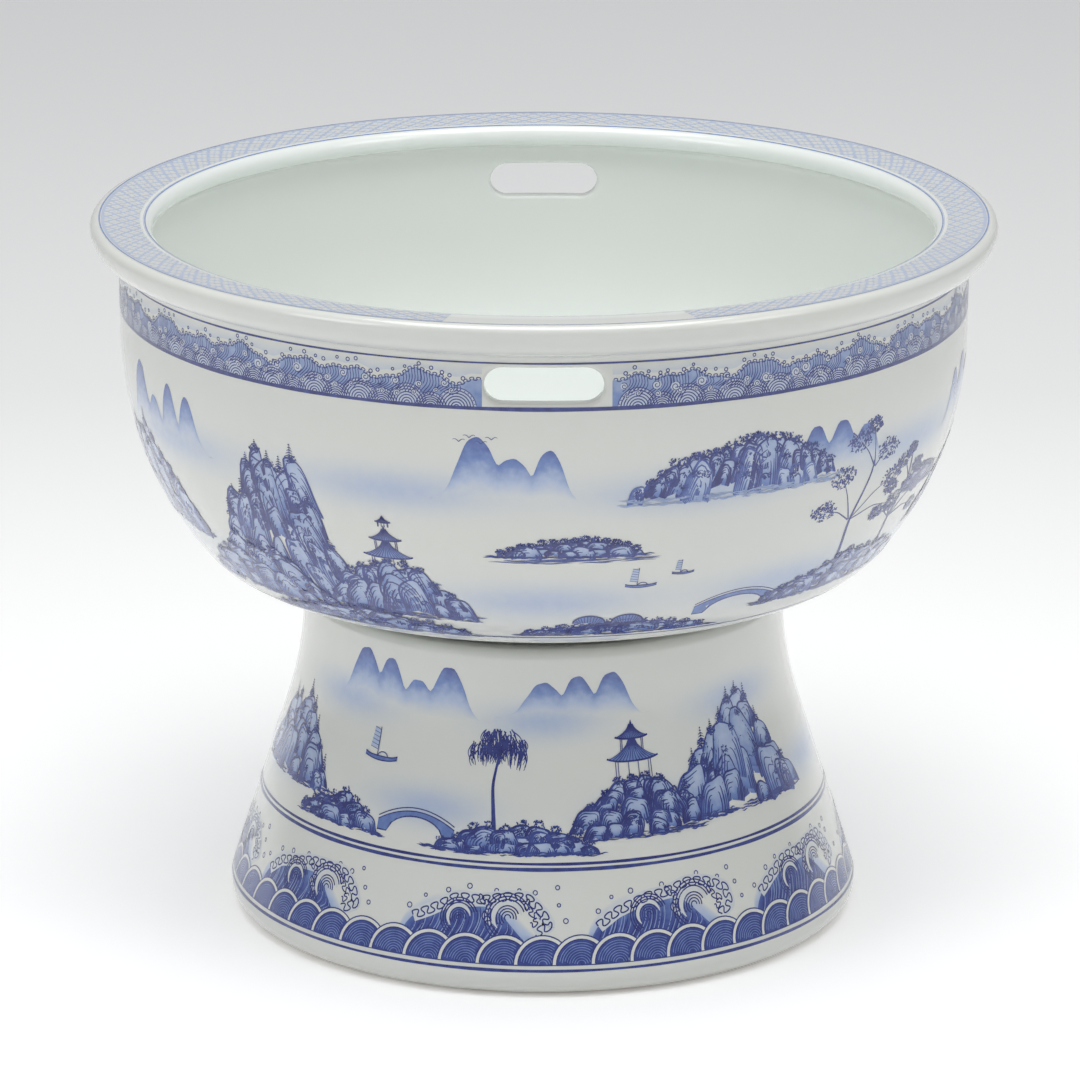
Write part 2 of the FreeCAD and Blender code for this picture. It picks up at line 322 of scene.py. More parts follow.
# %% Wash patches: place in degrees and height in millimetres, half widths, strength
SCENE_WASHES = [(deg, (300, 384)[k % 2], 14, 14, 0.2) for k, deg in enumerate(range(-80, 81, 20))]
BOWL_WASHES = SCENE_WASHES + [(180 - deg, *rest) for deg, *rest in SCENE_WASHES]
GARDEN_WASHES = [(deg, (124, 186)[k % 2], 12, 12, 0.22) for k, deg in enumerate(range(-75, 76, 25))]
STAND_WASHES = GARDEN_WASHES + [(180 - deg, *rest) for deg, *rest in GARDEN_WASHES]


def wash(patches, angle, z):
    """The wash at these places: each patch adds its strength times a bell curve of the scaled distance."""
    total = np.zeros(np.broadcast(angle, z).shape)
    for deg, height, half_deg, half_z, strength in patches:
        turn = (np.degrees(angle) - deg + 180) % 360 - 180
        total = total + strength * np.exp(-(turn / half_deg) ** 2 - ((z - height) / half_z) ** 2)
    return np.clip(total, 0, 0.6)


# %% [markdown]
# ## The bowl's glaze shell
# The outline is swung round in 450 steps. Each hand slot is a level hole with round ends. Its edge can't
# follow the wheel's rings, so a small window is left out of the outer and the inner wall, and filled with rings
# of faces that turn from a rectangle into the slot's own outline. A tunnel with rounded edges joins the two.

# %% Swinging an outline round
COLUMNS = 450
TURN = np.arange(COLUMNS) * 2 * np.pi / COLUMNS


def swing(outline, turn=TURN):
    """Each outline point (r, z) at each angle a becomes (r sin a, -r cos a, z)."""
    r, z = outline[:, :1], outline[:, 1:]
    return np.stack([r * np.sin(turn), -r * np.cos(turn), z + 0 * turn], -1)


def weld(points, face_tables, painted):
    """Gives points that share a place one number, so that neighbouring patches become one skin."""
    key = np.round(points, 4) + 0.0
    _, kept, number = np.unique(key, axis=0, return_index=True, return_inverse=True)
    number = number.reshape(-1)
    return points[kept], [number[table] for table in face_tables], {k: v[kept] for k, v in painted.items()}


def open_edges(face_tables):
    """How many edges don't have exactly two faces; 0 means a closed skin."""
    sides = np.concatenate([np.stack([t, np.roll(t, -1, 1)], -1).reshape(-1, 2) for t in face_tables])
    _, count = np.unique(np.sort(sides, 1), axis=0, return_counts=True)
    return int((count != 2).sum())


# %% The hand slots
WINDOW_COLUMNS = 12


def window_edge():
    """The window's rectangle as places (x on the unit circle, height), anticlockwise seen from outside."""
    across = np.arange(-WINDOW_COLUMNS, WINDOW_COLUMNS + 1)
    up = np.arange(0, WINDOW_ROWS + 1)
    height = WINDOW_LOW + (NECK_TOP - WINDOW_LOW) * up / WINDOW_ROWS
    low = np.column_stack([across[:-1], np.full(len(across) - 1, height[0])])
    right = np.column_stack([np.full(len(up) - 1, across[-1]), height[:-1]])
    high = np.column_stack([across[:0:-1], np.full(len(across) - 1, height[-1])])
    left = np.column_stack([np.full(len(up) - 1, across[0]), height[:0:-1]])
    edge = np.concatenate([low, right, high, left])
    return np.column_stack([np.sin(edge[:, 0] * 2 * np.pi / COLUMNS), edge[:, 1]])


def slot_ring(angle, grow):
    """Where rays from the slot's middle meet its outline, pushed out by grow: flat sides first, else ends."""
    end, radius = (SLOT_W - SLOT_H) / 2, SLOT_H / 2 + grow
    c, s = np.cos(angle), np.sin(angle)
    flat = radius / np.maximum(np.abs(s), 1e-9)
    nose = end * np.abs(c) + np.sqrt(np.maximum(radius ** 2 - (end * s) ** 2, 0))
    reach = np.where(flat * np.abs(c) <= end, flat, nose)
    return reach * c, SLOT_MIDDLE + reach * s


def slot_skin(side):
    """Rows of points from the outer window, through the slot, to the inner window; side is 1 front, -1 back."""
    unit_x, z = window_edge().T
    angle = np.arctan2(z - SLOT_MIDDLE, unit_x * NECK_R)
    turned = np.radians(np.linspace(0, 90, 5))
    rows = []
    for radius, sign in ((NECK_R, 1), (WALL_R, -1)):
        edge_x = unit_x * radius
        inner_x, inner_z = slot_ring(angle, SLOT_ROUND)
        half = []
        for share in (0, 0.35, 0.7):
            half.append((edge_x + share * (inner_x - edge_x), z + share * (inner_z - z), 0))
        for a in turned:
            x_a, z_a = slot_ring(angle, SLOT_ROUND * (1 - math.sin(a)))
            half.append((x_a, z_a, SLOT_ROUND * (1 - math.cos(a))))
        placed = [np.stack([x, -(np.sqrt(radius ** 2 - x ** 2) - sign * d), h + 0 * x], -1) for x, h, d in half]
        rows += placed[::sign]
    return np.array(rows) * [side, side, 1]


# %% The bowl's shell
def bowl_shell():
    """The swung outline less four windows, closed by two fans at the axis and by the two slot skins."""
    rows = len(bowl_line)
    grid = swing(bowl_line)
    quads = grid_faces(rows, COLUMNS, wrap=True)
    row, column = quads[:, 0] // COLUMNS, quads[:, 0] % COLUMNS
    near = (column + WINDOW_COLUMNS) % (COLUMNS // 2) < 2 * WINDOW_COLUMNS
    outer_low = row_of(bowl_line, NECK_R, WINDOW_LOW)
    inner_high = row_of(bowl_line, WALL_R, NECK_TOP)
    in_rows = ((row >= outer_low) & (row < outer_low + WINDOW_ROWS)
               | (row >= inner_high) & (row < inner_high + WINDOW_ROWS))
    quads = quads[~(near & in_rows)]
    skins = [slot_skin(side) for side in (1, -1)]
    count = rows * COLUMNS
    tables = [quads]
    for skin in skins:
        ring = skin.shape[1]
        tables.append(grid_faces(len(skin), ring, first=count, wrap=True))
        count += len(skin) * ring
    poles = np.array([[0, 0, bowl_line[0, 1]], [0, 0, bowl_line[-1, 1]]])
    here = np.arange(COLUMNS)
    after, last = (here + 1) % COLUMNS, (rows - 1) * COLUMNS
    tables.append(np.stack([here * 0 + count, after, here], -1))
    tables.append(np.stack([last + here, last + after, here * 0 + count + 1], -1))
    points = np.concatenate([grid.reshape(-1, 3)] + [skin.reshape(-1, 3) for skin in skins] + [poles])
    return points, tables


def shell_values(points, tables, patches):
    """The glaze at a point: the wash outside; inside a green tint, painted paler as painted light, most on the
    floor.
    """
    radius, z = np.hypot(points[:, 0], points[:, 1]), points[:, 2]
    inside = (radius < np.interp(z, bowl_line[:row_of(bowl_line, NECK_R, NECK_TOP), 1],
                                 bowl_line[:row_of(bowl_line, NECK_R, NECK_TOP), 0]) - 5) | (z > NECK_TOP + 30)
    angle = np.arctan2(points[:, 0], -points[:, 1])
    painted = np.where(inside, 0, wash(patches, angle, z))
    return {"cobalt": painted, "inside_tint_and_painted_light": np.clip((300 - radius) / 25, 0, 1) * inside}


def used_only(points, tables, painted):
    """Drops the points that no face uses."""
    used = np.unique(np.concatenate([t.ravel() for t in tables]))
    number = np.zeros(len(points), int)
    number[used] = np.arange(len(used))
    return points[used], [number[t] for t in tables], {k: v[used] for k, v in painted.items()}


points, tables = bowl_shell()
welded = used_only(*weld(points, tables, shell_values(points, tables, BOWL_WASHES)))
print("open edges in the bowl", open_edges(welded[1]))
bowl_glaze = add_mesh("bowl_glaze_shell", *welded)
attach(bowl_glaze, "bowl")
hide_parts("bowl")

# %% [markdown]
# ## The stand's glaze shell
# The stand has no slots, and its outline runs round its wall and back to its start, so the shell closes on
# itself like a thick ring.

# %% The stand's shell
def stand_shell():
    """The swung outline, joined from its last row back to its first."""
    rows = len(stand_line)
    looped = np.arange(rows * COLUMNS + COLUMNS) % (rows * COLUMNS)
    return swing(stand_line).reshape(-1, 3), [looped[grid_faces(rows + 1, COLUMNS, wrap=True)]]


points, tables = stand_shell()
angle = np.arctan2(points[:, 0], -points[:, 1])
outside = np.arange(len(points)) < COLUMNS * (row_of(stand_line, STAND_R, SEAT_Z - 2) + 1)
values = {"cobalt": np.where(outside, wash(STAND_WASHES, angle, points[:, 2]), 0), "inside_tint_and_painted_light": 0 * angle}
print("open edges in the stand", open_edges(tables))
stand_glaze = add_mesh("stand_glaze_shell", points, tables, values)
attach(stand_glaze, "stand")
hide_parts("stand")

# %% [markdown]
# ## Porcelain
# Under a clear, glossy glaze lie the white body and the cobalt. One colour scale turns the painted value into
# colour: bare glaze, pale wash, strong wash and dark line. The glaze itself isn't even: it has faint tints,
# a few iron specks and a very shallow waviness left by the wheel. Those are the same on every painted piece,
# so they are node groups, and each material keeps its own shader.

# %% Helpers for node groups
def new_group(name, inputs, outputs):
    """An empty shader node group with these sockets: each a name, a kind and, for an input, a value."""
    group = bpy.data.node_groups.new(name, "ShaderNodeTree")
    for socket_name, kind, value in inputs:
        socket = group.interface.new_socket(socket_name, in_out="INPUT", socket_type=kind)
        socket.default_value = value
    for socket_name, kind in outputs:
        group.interface.new_socket(socket_name, in_out="OUTPUT", socket_type=kind)
    return group, group.nodes.new("NodeGroupInput"), group.nodes.new("NodeGroupOutput")


def node(tree, kind, settings=None, **values):
    """Adds a node, sets its options, and fills its inputs: a socket is linked, anything else is a value."""
    made = tree.nodes.new(kind)
    for key, value in (settings or {}).items():
        setattr(made, key, value)
    for key, value in values.items():
        name = key.replace("_", " ")
        slot = next(s for s in made.inputs if s.name == name and s.enabled)
        if isinstance(value, bpy.types.NodeSocket):
            tree.links.new(value, slot)
        else:
            slot.default_value = value
    return made


def math_node(tree, operation, *values, clamp=False):
    """A Math node with its inputs filled in order."""
    made = tree.nodes.new("ShaderNodeMath")
    made.operation, made.use_clamp = operation, clamp
    for slot, value in zip(made.inputs, values):
        if isinstance(value, bpy.types.NodeSocket):
            tree.links.new(value, slot)
        else:
            slot.default_value = value
    return made.outputs[0]


def noise(tree, where, scale, detail=2.0):
    return node(tree, "ShaderNodeTexNoise", Vector=where, Scale=scale, Detail=detail).outputs["Fac"]


def ramp(tree, value, stops, ease="LINEAR"):
    """A colour scale: each stop is a place from 0 to 1 and a colour."""
    made = node(tree, "ShaderNodeValToRGB", Fac=value)
    made.color_ramp.interpolation = ease
    while len(made.color_ramp.elements) < len(stops):
        made.color_ramp.elements.new(1.0)
    for element, (place, colour) in zip(made.color_ramp.elements, stops):
        element.position, element.color = place, colour
    return made.outputs["Color"]


def rgb(r, g, b):
    """A colour given as screen values from 0 to 255, as the linear values that shaders use."""
    return tuple(((c / 255 + 0.055) / 1.055) ** 2.4 for c in (r, g, b)) + (1.0,)


# %% The colour of cobalt under glaze
GLAZE = rgb(221, 222, 217)
# Inside colour: the glaze's faint green, painted paler than the outside as painted light on the shaded inside.
INSIDE_GLAZE_PAINTED_PALE = rgb(241, 245, 242)
COBALT_SCALE = [(0.0, GLAZE), (0.22, rgb(177, 191, 218)), (0.45, rgb(105, 132, 190)),
                (0.7, rgb(57, 76, 152)), (1.0, rgb(30, 37, 112))]


def make_cobalt_group():
    """Colour from the painted value, made uneven by two noises, over a specked glaze, greener and painted paler
    inside.
    """
    group, source, sink = new_group(
        "cobalt_under_glaze",
        [("Cobalt", "NodeSocketFloat", 0.0), ("Pooling", "NodeSocketFloat", 0.12),
         ("Inside_Tint_And_Painted_Light", "NodeSocketFloat", 0.0)],
        [("Color", "NodeSocketColor")])
    where = node(group, "ShaderNodeTexCoord").outputs["Object"]
    pool = math_node(group, "SUBTRACT", noise(group, where, 160.0, 3.0), 0.5)
    swing_by = math_node(group, "MULTIPLY", pool, source.outputs["Pooling"])
    depth = math_node(group, "MULTIPLY", swing_by, math_node(group, "MULTIPLY", source.outputs["Cobalt"], 4.0))
    value = math_node(group, "ADD", source.outputs["Cobalt"], depth, clamp=True)
    painted = ramp(group, value, COBALT_SCALE)
    # Inside, the glaze turns greener and paler: the paleness is painted light on the shaded inside.
    inside = node(group, "ShaderNodeMix", {"data_type": "RGBA"}, Factor=source.outputs["Inside_Tint_And_Painted_Light"],
                  A=painted, B=INSIDE_GLAZE_PAINTED_PALE).outputs["Result"]
    tint = ramp(group, noise(group, where, 5.0, 1.0), [(0.3, (0.97, 0.98, 0.98, 1)), (0.7, (1, 1, 0.985, 1))])
    tinted = node(group, "ShaderNodeMix", {"data_type": "RGBA", "blend_type": "MULTIPLY"}, Factor=1.0,
                  A=inside, B=tint).outputs["Result"]
    cells = node(group, "ShaderNodeTexVoronoi", Vector=where, Scale=42.0)
    small = math_node(group, "LESS_THAN", cells.outputs["Distance"], 0.022)
    rare = math_node(group, "GREATER_THAN",
                     node(group, "ShaderNodeSeparateColor", Color=cells.outputs["Color"]).outputs["Red"], 0.9)
    specks = math_node(group, "MULTIPLY", math_node(group, "MULTIPLY", small, rare), 0.6)
    result = node(group, "ShaderNodeMix", {"data_type": "RGBA"}, Factor=specks,
                  A=tinted, B=rgb(110, 84, 56)).outputs["Result"]
    group.links.new(result, sink.inputs["Color"])
    return group


cobalt_group = make_cobalt_group()


def make_wheel_group():
    """Height of the glaze: wide soft waves, level rings left by the wheel, and a fine orange-peel grain."""
    group, source, sink = new_group("wheel_marks", [("Rings", "NodeSocketFloat", 1.0)],
                                    [("Height", "NodeSocketFloat")])
    where = node(group, "ShaderNodeTexCoord").outputs["Object"]
    level = node(group, "ShaderNodeMapping", Vector=where, Scale=(1.2, 1.2, 55.0)).outputs["Vector"]
    rings = math_node(group, "MULTIPLY", noise(group, level, 1.0, 1.0), source.outputs["Rings"])
    waves = math_node(group, "MULTIPLY", noise(group, where, 14.0, 1.0), 0.8)
    peel = math_node(group, "MULTIPLY", noise(group, where, 900.0, 1.0), 0.02)
    total = math_node(group, "ADD", math_node(group, "ADD", rings, waves), peel)
    group.links.new(total, sink.inputs["Height"])
    return group


wheel_group = make_wheel_group()


# %% Glazed materials
def glazed(name, pooling, rings, bare_foot=False, value=None):
    """Clear glaze over painted porcelain; value fixes the painted value where the mesh has none of its own."""
    material = bpy.data.materials.new(name)
    material.use_nodes = True
    tree = material.node_tree
    shader = tree.nodes["Principled BSDF"]
    paint = node(tree, "ShaderNodeGroup", {"node_tree": cobalt_group}, Pooling=pooling)
    if value is None:
        cobalt = node(tree, "ShaderNodeAttribute", {"attribute_name": "cobalt"}).outputs["Fac"]
        inside_tint_and_painted_light = node(tree, "ShaderNodeAttribute", {"attribute_name": "inside_tint_and_painted_light"}).outputs["Fac"]
        tree.links.new(cobalt, paint.inputs["Cobalt"])
        tree.links.new(inside_tint_and_painted_light, paint.inputs["Inside_Tint_And_Painted_Light"])
    else:
        paint.inputs["Cobalt"].default_value = value
    wheel = node(tree, "ShaderNodeGroup", {"node_tree": wheel_group}, Rings=rings)
    bump = node(tree, "ShaderNodeBump", Height=wheel.outputs["Height"], Distance=0.0006, Strength=0.35)
    colour, rough, coat = paint.outputs["Color"], 0.22, 0.8
    if bare_foot:
        where = node(tree, "ShaderNodeTexCoord").outputs["Object"]
        height = node(tree, "ShaderNodeSeparateXYZ", Vector=where).outputs["Z"]
        uneven = math_node(tree, "MULTIPLY", noise(tree, where, 30.0), 0.0022)
        edge = node(tree, "ShaderNodeMapRange", Value=math_node(tree, "ADD", height, uneven))
        edge.inputs["From Min"].default_value, edge.inputs["From Max"].default_value = 0.0042, 0.0030
        bare = edge.outputs["Result"]
        clay = ramp(tree, noise(tree, where, 60.0, 4.0), [(0.3, rgb(150, 132, 104)), (0.7, rgb(196, 184, 162))])
        colour = node(tree, "ShaderNodeMix", {"data_type": "RGBA"}, Factor=bare, A=colour, B=clay).outputs["Result"]
        rough = math_node(tree, "MULTIPLY_ADD", bare, 0.6, 0.22)
        coat = math_node(tree, "MULTIPLY_ADD", bare, -0.8, 0.8)
    for socket, wanted in (("Base Color", colour), ("Roughness", rough), ("Coat Weight", coat)):
        if isinstance(wanted, bpy.types.NodeSocket):
            tree.links.new(wanted, shader.inputs[socket])
        else:
            shader.inputs[socket].default_value = wanted
    tree.links.new(bump.outputs["Normal"], shader.inputs["Normal"])
    shader.inputs["Coat Roughness"].default_value = 0.05
    shader.inputs["IOR"].default_value = 1.5
    return material


bowl_material = glazed("bowl_porcelain", 0.10, 1.0)
stand_material = glazed("stand_porcelain", 0.10, 0.6, bare_foot=True)
bowl_glaze.data.materials.append(bowl_material)
stand_glaze.data.materials.append(stand_material)

# %% [markdown]
# ## The painter's tools
# Cobalt lines lie in the glaze as sharp, dark, slightly uneven strokes. A picture could hold them, but a mesh
# stroke stays sharp at any distance, so every line is a narrow ribbon and every dab a small leaf, a tenth of a
# millimetre above the shell. A brush gathers thousands of them as arrays and makes one mesh from them.

# %% A brush
LIFT = 0.10


class Brush:
    """Gathers ribbons, sheets and dabs on one face of the pot; places are millimetres on flat paper."""

    def __init__(self, face):
        self.face, self.points, self.tables, self.values, self.count = face, [], [], [], 0

    def bend(self, x, y, at, lift):
        """Paper to pot: x over the radius at the anchor is an angle, y adds to the length along the outline."""
        start = self.face.t_at(np.asarray(at[1], float))
        return self.face.bend(np.radians(at[0]) + x / self.face.r_at(start), start + y, lift)

    def keep(self, points, table, value):
        self.points.append(points.reshape(-1, 3))
        self.tables.append(table + self.count)
        self.values.append(np.broadcast_to(value, points.shape[:-1]).ravel())
        self.count += points.size // 3

    def lines(self, x, y, width, value=1.0, at=(0, 0), lift=LIFT):
        """Ribbons along rows of places: each side lies half a width from the line, across the surface."""
        x, y = np.broadcast_arrays(np.atleast_2d(x), np.atleast_2d(y))
        at = (np.asarray(at[0], float), np.asarray(at[1], float))
        middle, normal = self.bend(x, y, at, lift)
        along = np.gradient(middle, axis=1)
        across = np.cross(normal, along)
        across /= np.maximum(np.linalg.norm(across, axis=-1, keepdims=True), 1e-9)
        half = (np.broadcast_to(width, x.shape) / 2)[..., None] * across
        both = np.stack([middle + half, middle - half], axis=2)
        n, m = x.shape
        first = (np.arange(n)[:, None] * m + np.arange(m - 1)) * 2
        table = np.stack([first, first + 1, first + 3, first + 2], -1).reshape(-1, 4)
        value = np.broadcast_to(np.asarray(value, float), x.shape)[..., None] + np.zeros(2)
        self.keep(both, table, value)

    def sheet(self, x, y, value, at=(0, 0), lift=LIFT):
        """A painted area: a grid of places, its rows running left to right and stacked upwards."""
        points, _ = self.bend(x, y, at, lift)
        self.keep(points, grid_faces(*x.shape), value)

    def dabs(self, x, y, long, wide, turn, value=1.0, at=(0, 0), lift=LIFT, corners=6):
        """Small ovals: half length, half width and turn (radians) for each place."""
        a = np.arange(corners) * 2 * np.pi / corners
        u, v = np.multiply.outer(long, np.cos(a)), np.multiply.outer(wide, np.sin(a))
        c, s = np.cos(turn)[..., None], np.sin(turn)[..., None]
        at = (np.asarray(at[0], float)[..., None], np.asarray(at[1], float)[..., None])
        points, _ = self.bend(x[..., None] + u * c - v * s, y[..., None] + u * s + v * c, at, lift)
        count = points.size // 3 // corners
        self.keep(points, np.arange(count * corners).reshape(count, corners),
                  np.broadcast_to(value, x.shape)[..., None] + np.zeros(corners))

    def finish(self, name, body, slot, material):
        """Makes the mesh, and ties it to the piece it is painted on."""
        piece = add_mesh(name, np.concatenate(self.points), self.tables, {"cobalt": np.concatenate(self.values)})
        piece.data.materials.append(material)
        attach(piece, body)
        return piece


def rings(brush, rows, wobble=0.12):
    """Lines round the pot: each row is a height, a width and a value, and the width breathes a little."""
    turn = np.linspace(0, 2 * np.pi, 361)
    for number, (z, width, value) in enumerate(rows):
        r = brush.face.r_at(brush.face.t_at(z))
        uneven = 1 + wobble * np.sin(turn * 7 + number) + wobble * 0.6 * np.sin(turn * 23 + 2 * number)
        brush.lines(turn * r, 0 * turn, width * uneven, value, at=(0, z))


line_material = glazed("cobalt_brushwork", 0.16, 0.0)
SMALL = np.random.default_rng(7)

# %% [markdown]
# ## The ring lines
# The decorator lays these first, with the pot turning on a bench wheel under a still brush. They frame every
# band: one under the lip, one strong line under the wave band, one low on the bowl, a pair on the stand's
# flare and a pair above its foot.

# %% Ring lines of the bowl and the stand
UNDER_LIP_Z, WAVE_Z, BOWL_LOW_Z = 477.0, 445.5, 266.7
FLARE_LINES, FOOT_LINES = (91.1, 87.4), (24.5, 20.4)
brush = Brush(body_face)
rings(brush, [(UNDER_LIP_Z, 1.3, 0.9), (WAVE_Z, 2.6, 0.92), (BOWL_LOW_Z, 1.5, 0.85)])
brush.finish("bowl_ring_lines", "bowl", "bowl_glaze", line_material)
brush = Brush(stand_face)
rings(brush, [(FLARE_LINES[0], 1.9, 0.95), (FLARE_LINES[1], 2.4, 0.85),
              (FOOT_LINES[0], 1.5, 0.85), (FOOT_LINES[1], 2.0, 0.85)])
brush.finish("stand_ring_lines", "stand", "stand_glaze", line_material)

# %% [markdown]
# ## The diaper on the lip
# The flat top of the lip carries a diaper, an all-over pattern of small leaf-shaped cells left white on pale
# blue, in rows like bricks. The blue is one thin sheet on the rim's own face, and the cells are dabs on it.
# A bare panel is left at the front.

# %% Lip band


def rim_t(radius):
    """Length along the rim's outline where its top has this radius."""
    top = rim_face.z > rim_face.z.max() - 4
    return np.interp(-radius, -rim_face.r[top], rim_face.t[top])


def in_panel(angle):
    """True inside the bare panel at the front, given in degrees from its left to its right end."""
    return (np.degrees(angle) > -12.5) & (np.degrees(angle) < 19.0)


def lip_band():
    """Two ring lines, a pale sheet between them and a lattice of white petals on the sheet.

    Blossom (i, j) sits at angle 2 pi (i + j/2) / count and at radius middle + j * step, so that each ring of
    blossoms is half a place along from the last; its four petals stand off it along and across the lip."""
    outer, inner, ring_r = 312.0, 282.0, 300.0
    brush = Brush(rim_face)
    z0 = rim_face.z[0]
    anchor, t0 = (0, z0), rim_face.t_at(z0)
    scale = rim_face.r_at(t0)
    ends = np.radians([19.0, 360 - 12.5])
    turn = np.linspace(*ends, 420)
    low, high = rim_t(outer) - t0, rim_t(inner) - t0
    y = np.linspace(low, high, 7)[:, None]
    brush.sheet(turn * scale + 0 * y, y + 0 * turn, 0.23, anchor, lift=0.05)
    for radius, width, value in ((outer + 1.2, 1.2, 0.44), (inner - 0.8, 1.1, 0.40)):
        around = np.linspace(0, 2 * np.pi, 361)
        brush.lines(around * scale, 0 * around + rim_t(radius) - t0, width, value, anchor, lift=0.12)
    count, step = 126, 5.7
    ring, number, petal = np.meshgrid(np.arange(-2, 3), np.arange(count), np.arange(4), indexing="ij")
    along = np.array([3.0, 0, -3.0, 0])[petal] / ring_r
    across = np.array([0, 2.35, 0, -2.35])[petal]
    angle = (number + 0.5 * (ring % 2)) * 2 * np.pi / count + along + 0.0008 * SMALL.normal(size=ring.shape)
    radius = (outer + inner) / 2 + ring * step + across + 0.15 * SMALL.normal(size=ring.shape)
    kept = ~in_panel((angle + np.pi) % (2 * np.pi) - np.pi) & (np.abs(radius - (outer + inner) / 2) < 13.0)
    angle, radius = angle[kept], radius[kept]
    size = SMALL.uniform(0.85, 1.1, angle.shape)
    brush.dabs(angle * scale, rim_t(radius) - t0, 2.55 * size * scale / ring_r, 1.75 * size,
               0.1 * SMALL.normal(size=angle.shape), 0.02, anchor, lift=0.09)
    return brush.finish("lip_diaper", "bowl", "bowl_glaze", line_material)


lip_band()

# %% [markdown]
# ## The wave band under the lip
# A crowded band of sea: low suns of nested arcs with a beaded edge sit on the strong ring line, bundles of
# combed lines lean up to the right between them, little spirals of foam fill the gaps, and open droplets fly
# above. Every line is drawn dark over one mid-blue sheet whose top edge rises and falls like the crests.

# %% Lines that the sea is made of
def circle_lines(x, y, radius, start_deg, end_deg, count=13):
    """One arc per entry of x, y and radius, as rows of places; the angles may differ from row to row."""
    share = np.linspace(0, 1, count)
    start, end = np.broadcast_to(start_deg, np.shape(x)), np.broadcast_to(end_deg, np.shape(x))
    a = np.radians(start[..., None] * (1 - share) + end[..., None] * share)
    return np.asarray(x)[..., None] + np.asarray(radius)[..., None] * np.cos(a), \
        np.asarray(y)[..., None] + np.asarray(radius)[..., None] * np.sin(a)


def spiral_lines(x, y, radius, start_deg, turns, shrink=0.85, count=22):
    """A spiral per entry: the angle runs on while the radius shrinks evenly."""
    share = np.linspace(0, 1, count)
    a = np.radians(np.broadcast_to(start_deg, np.shape(x)))[..., None] + 2 * np.pi * turns * share
    size = np.asarray(radius)[..., None] * (1 - shrink * share)
    return np.asarray(x)[..., None] + size * np.cos(a), np.asarray(y)[..., None] + size * np.sin(a)


def meander(path_x, path_y, height, wave, bulb, count):
    """A lobed foam edge: the path, swung aside by a sine and pulled to and fro by one twice as fast."""
    length = np.concatenate([[0], np.cumsum(np.hypot(np.diff(path_x), np.diff(path_y)))])
    d = np.linspace(0, length[-1], count)
    turn = 2 * np.pi * np.arange(count) * (length[-1] / wave) / (count - 1)
    d = np.clip(d - bulb * np.sin(2 * turn), 0, length[-1])
    x, y = np.interp(d, length, path_x), np.interp(d, length, path_y)
    step_x, step_y = np.gradient(path_x, length), np.gradient(path_y, length)
    t_x, t_y = np.interp(d, length, step_x), np.interp(d, length, step_y)
    size = np.hypot(t_x, t_y)
    swing_by = height * np.sin(turn) / size
    return x - t_y * swing_by, y + t_x * swing_by


def smooth_path(places, count=60):
    """A soft curve through a few places: each coordinate is a cosine-eased walk between them, then averaged."""
    places = np.asarray(places, float)
    share = np.linspace(0, len(places) - 1, count)
    x, y = (np.interp(share, np.arange(len(places)), places[:, k]) for k in (0, 1))
    kernel = np.hanning(9) / np.hanning(9).sum()
    pad = 4
    return tuple(np.convolve(np.pad(v, pad, mode="edge"), kernel, "valid") for v in (x, y))


# %% The wave band
def crest(x):
    """Top of the sea above the ring line: a mean height and three waves of different lengths."""
    return 20.5 + 2.6 * np.sin(x / 7.3) + 2.2 * np.sin(x / 11.9 + 1) + 1.2 * np.sin(x / 3.1)


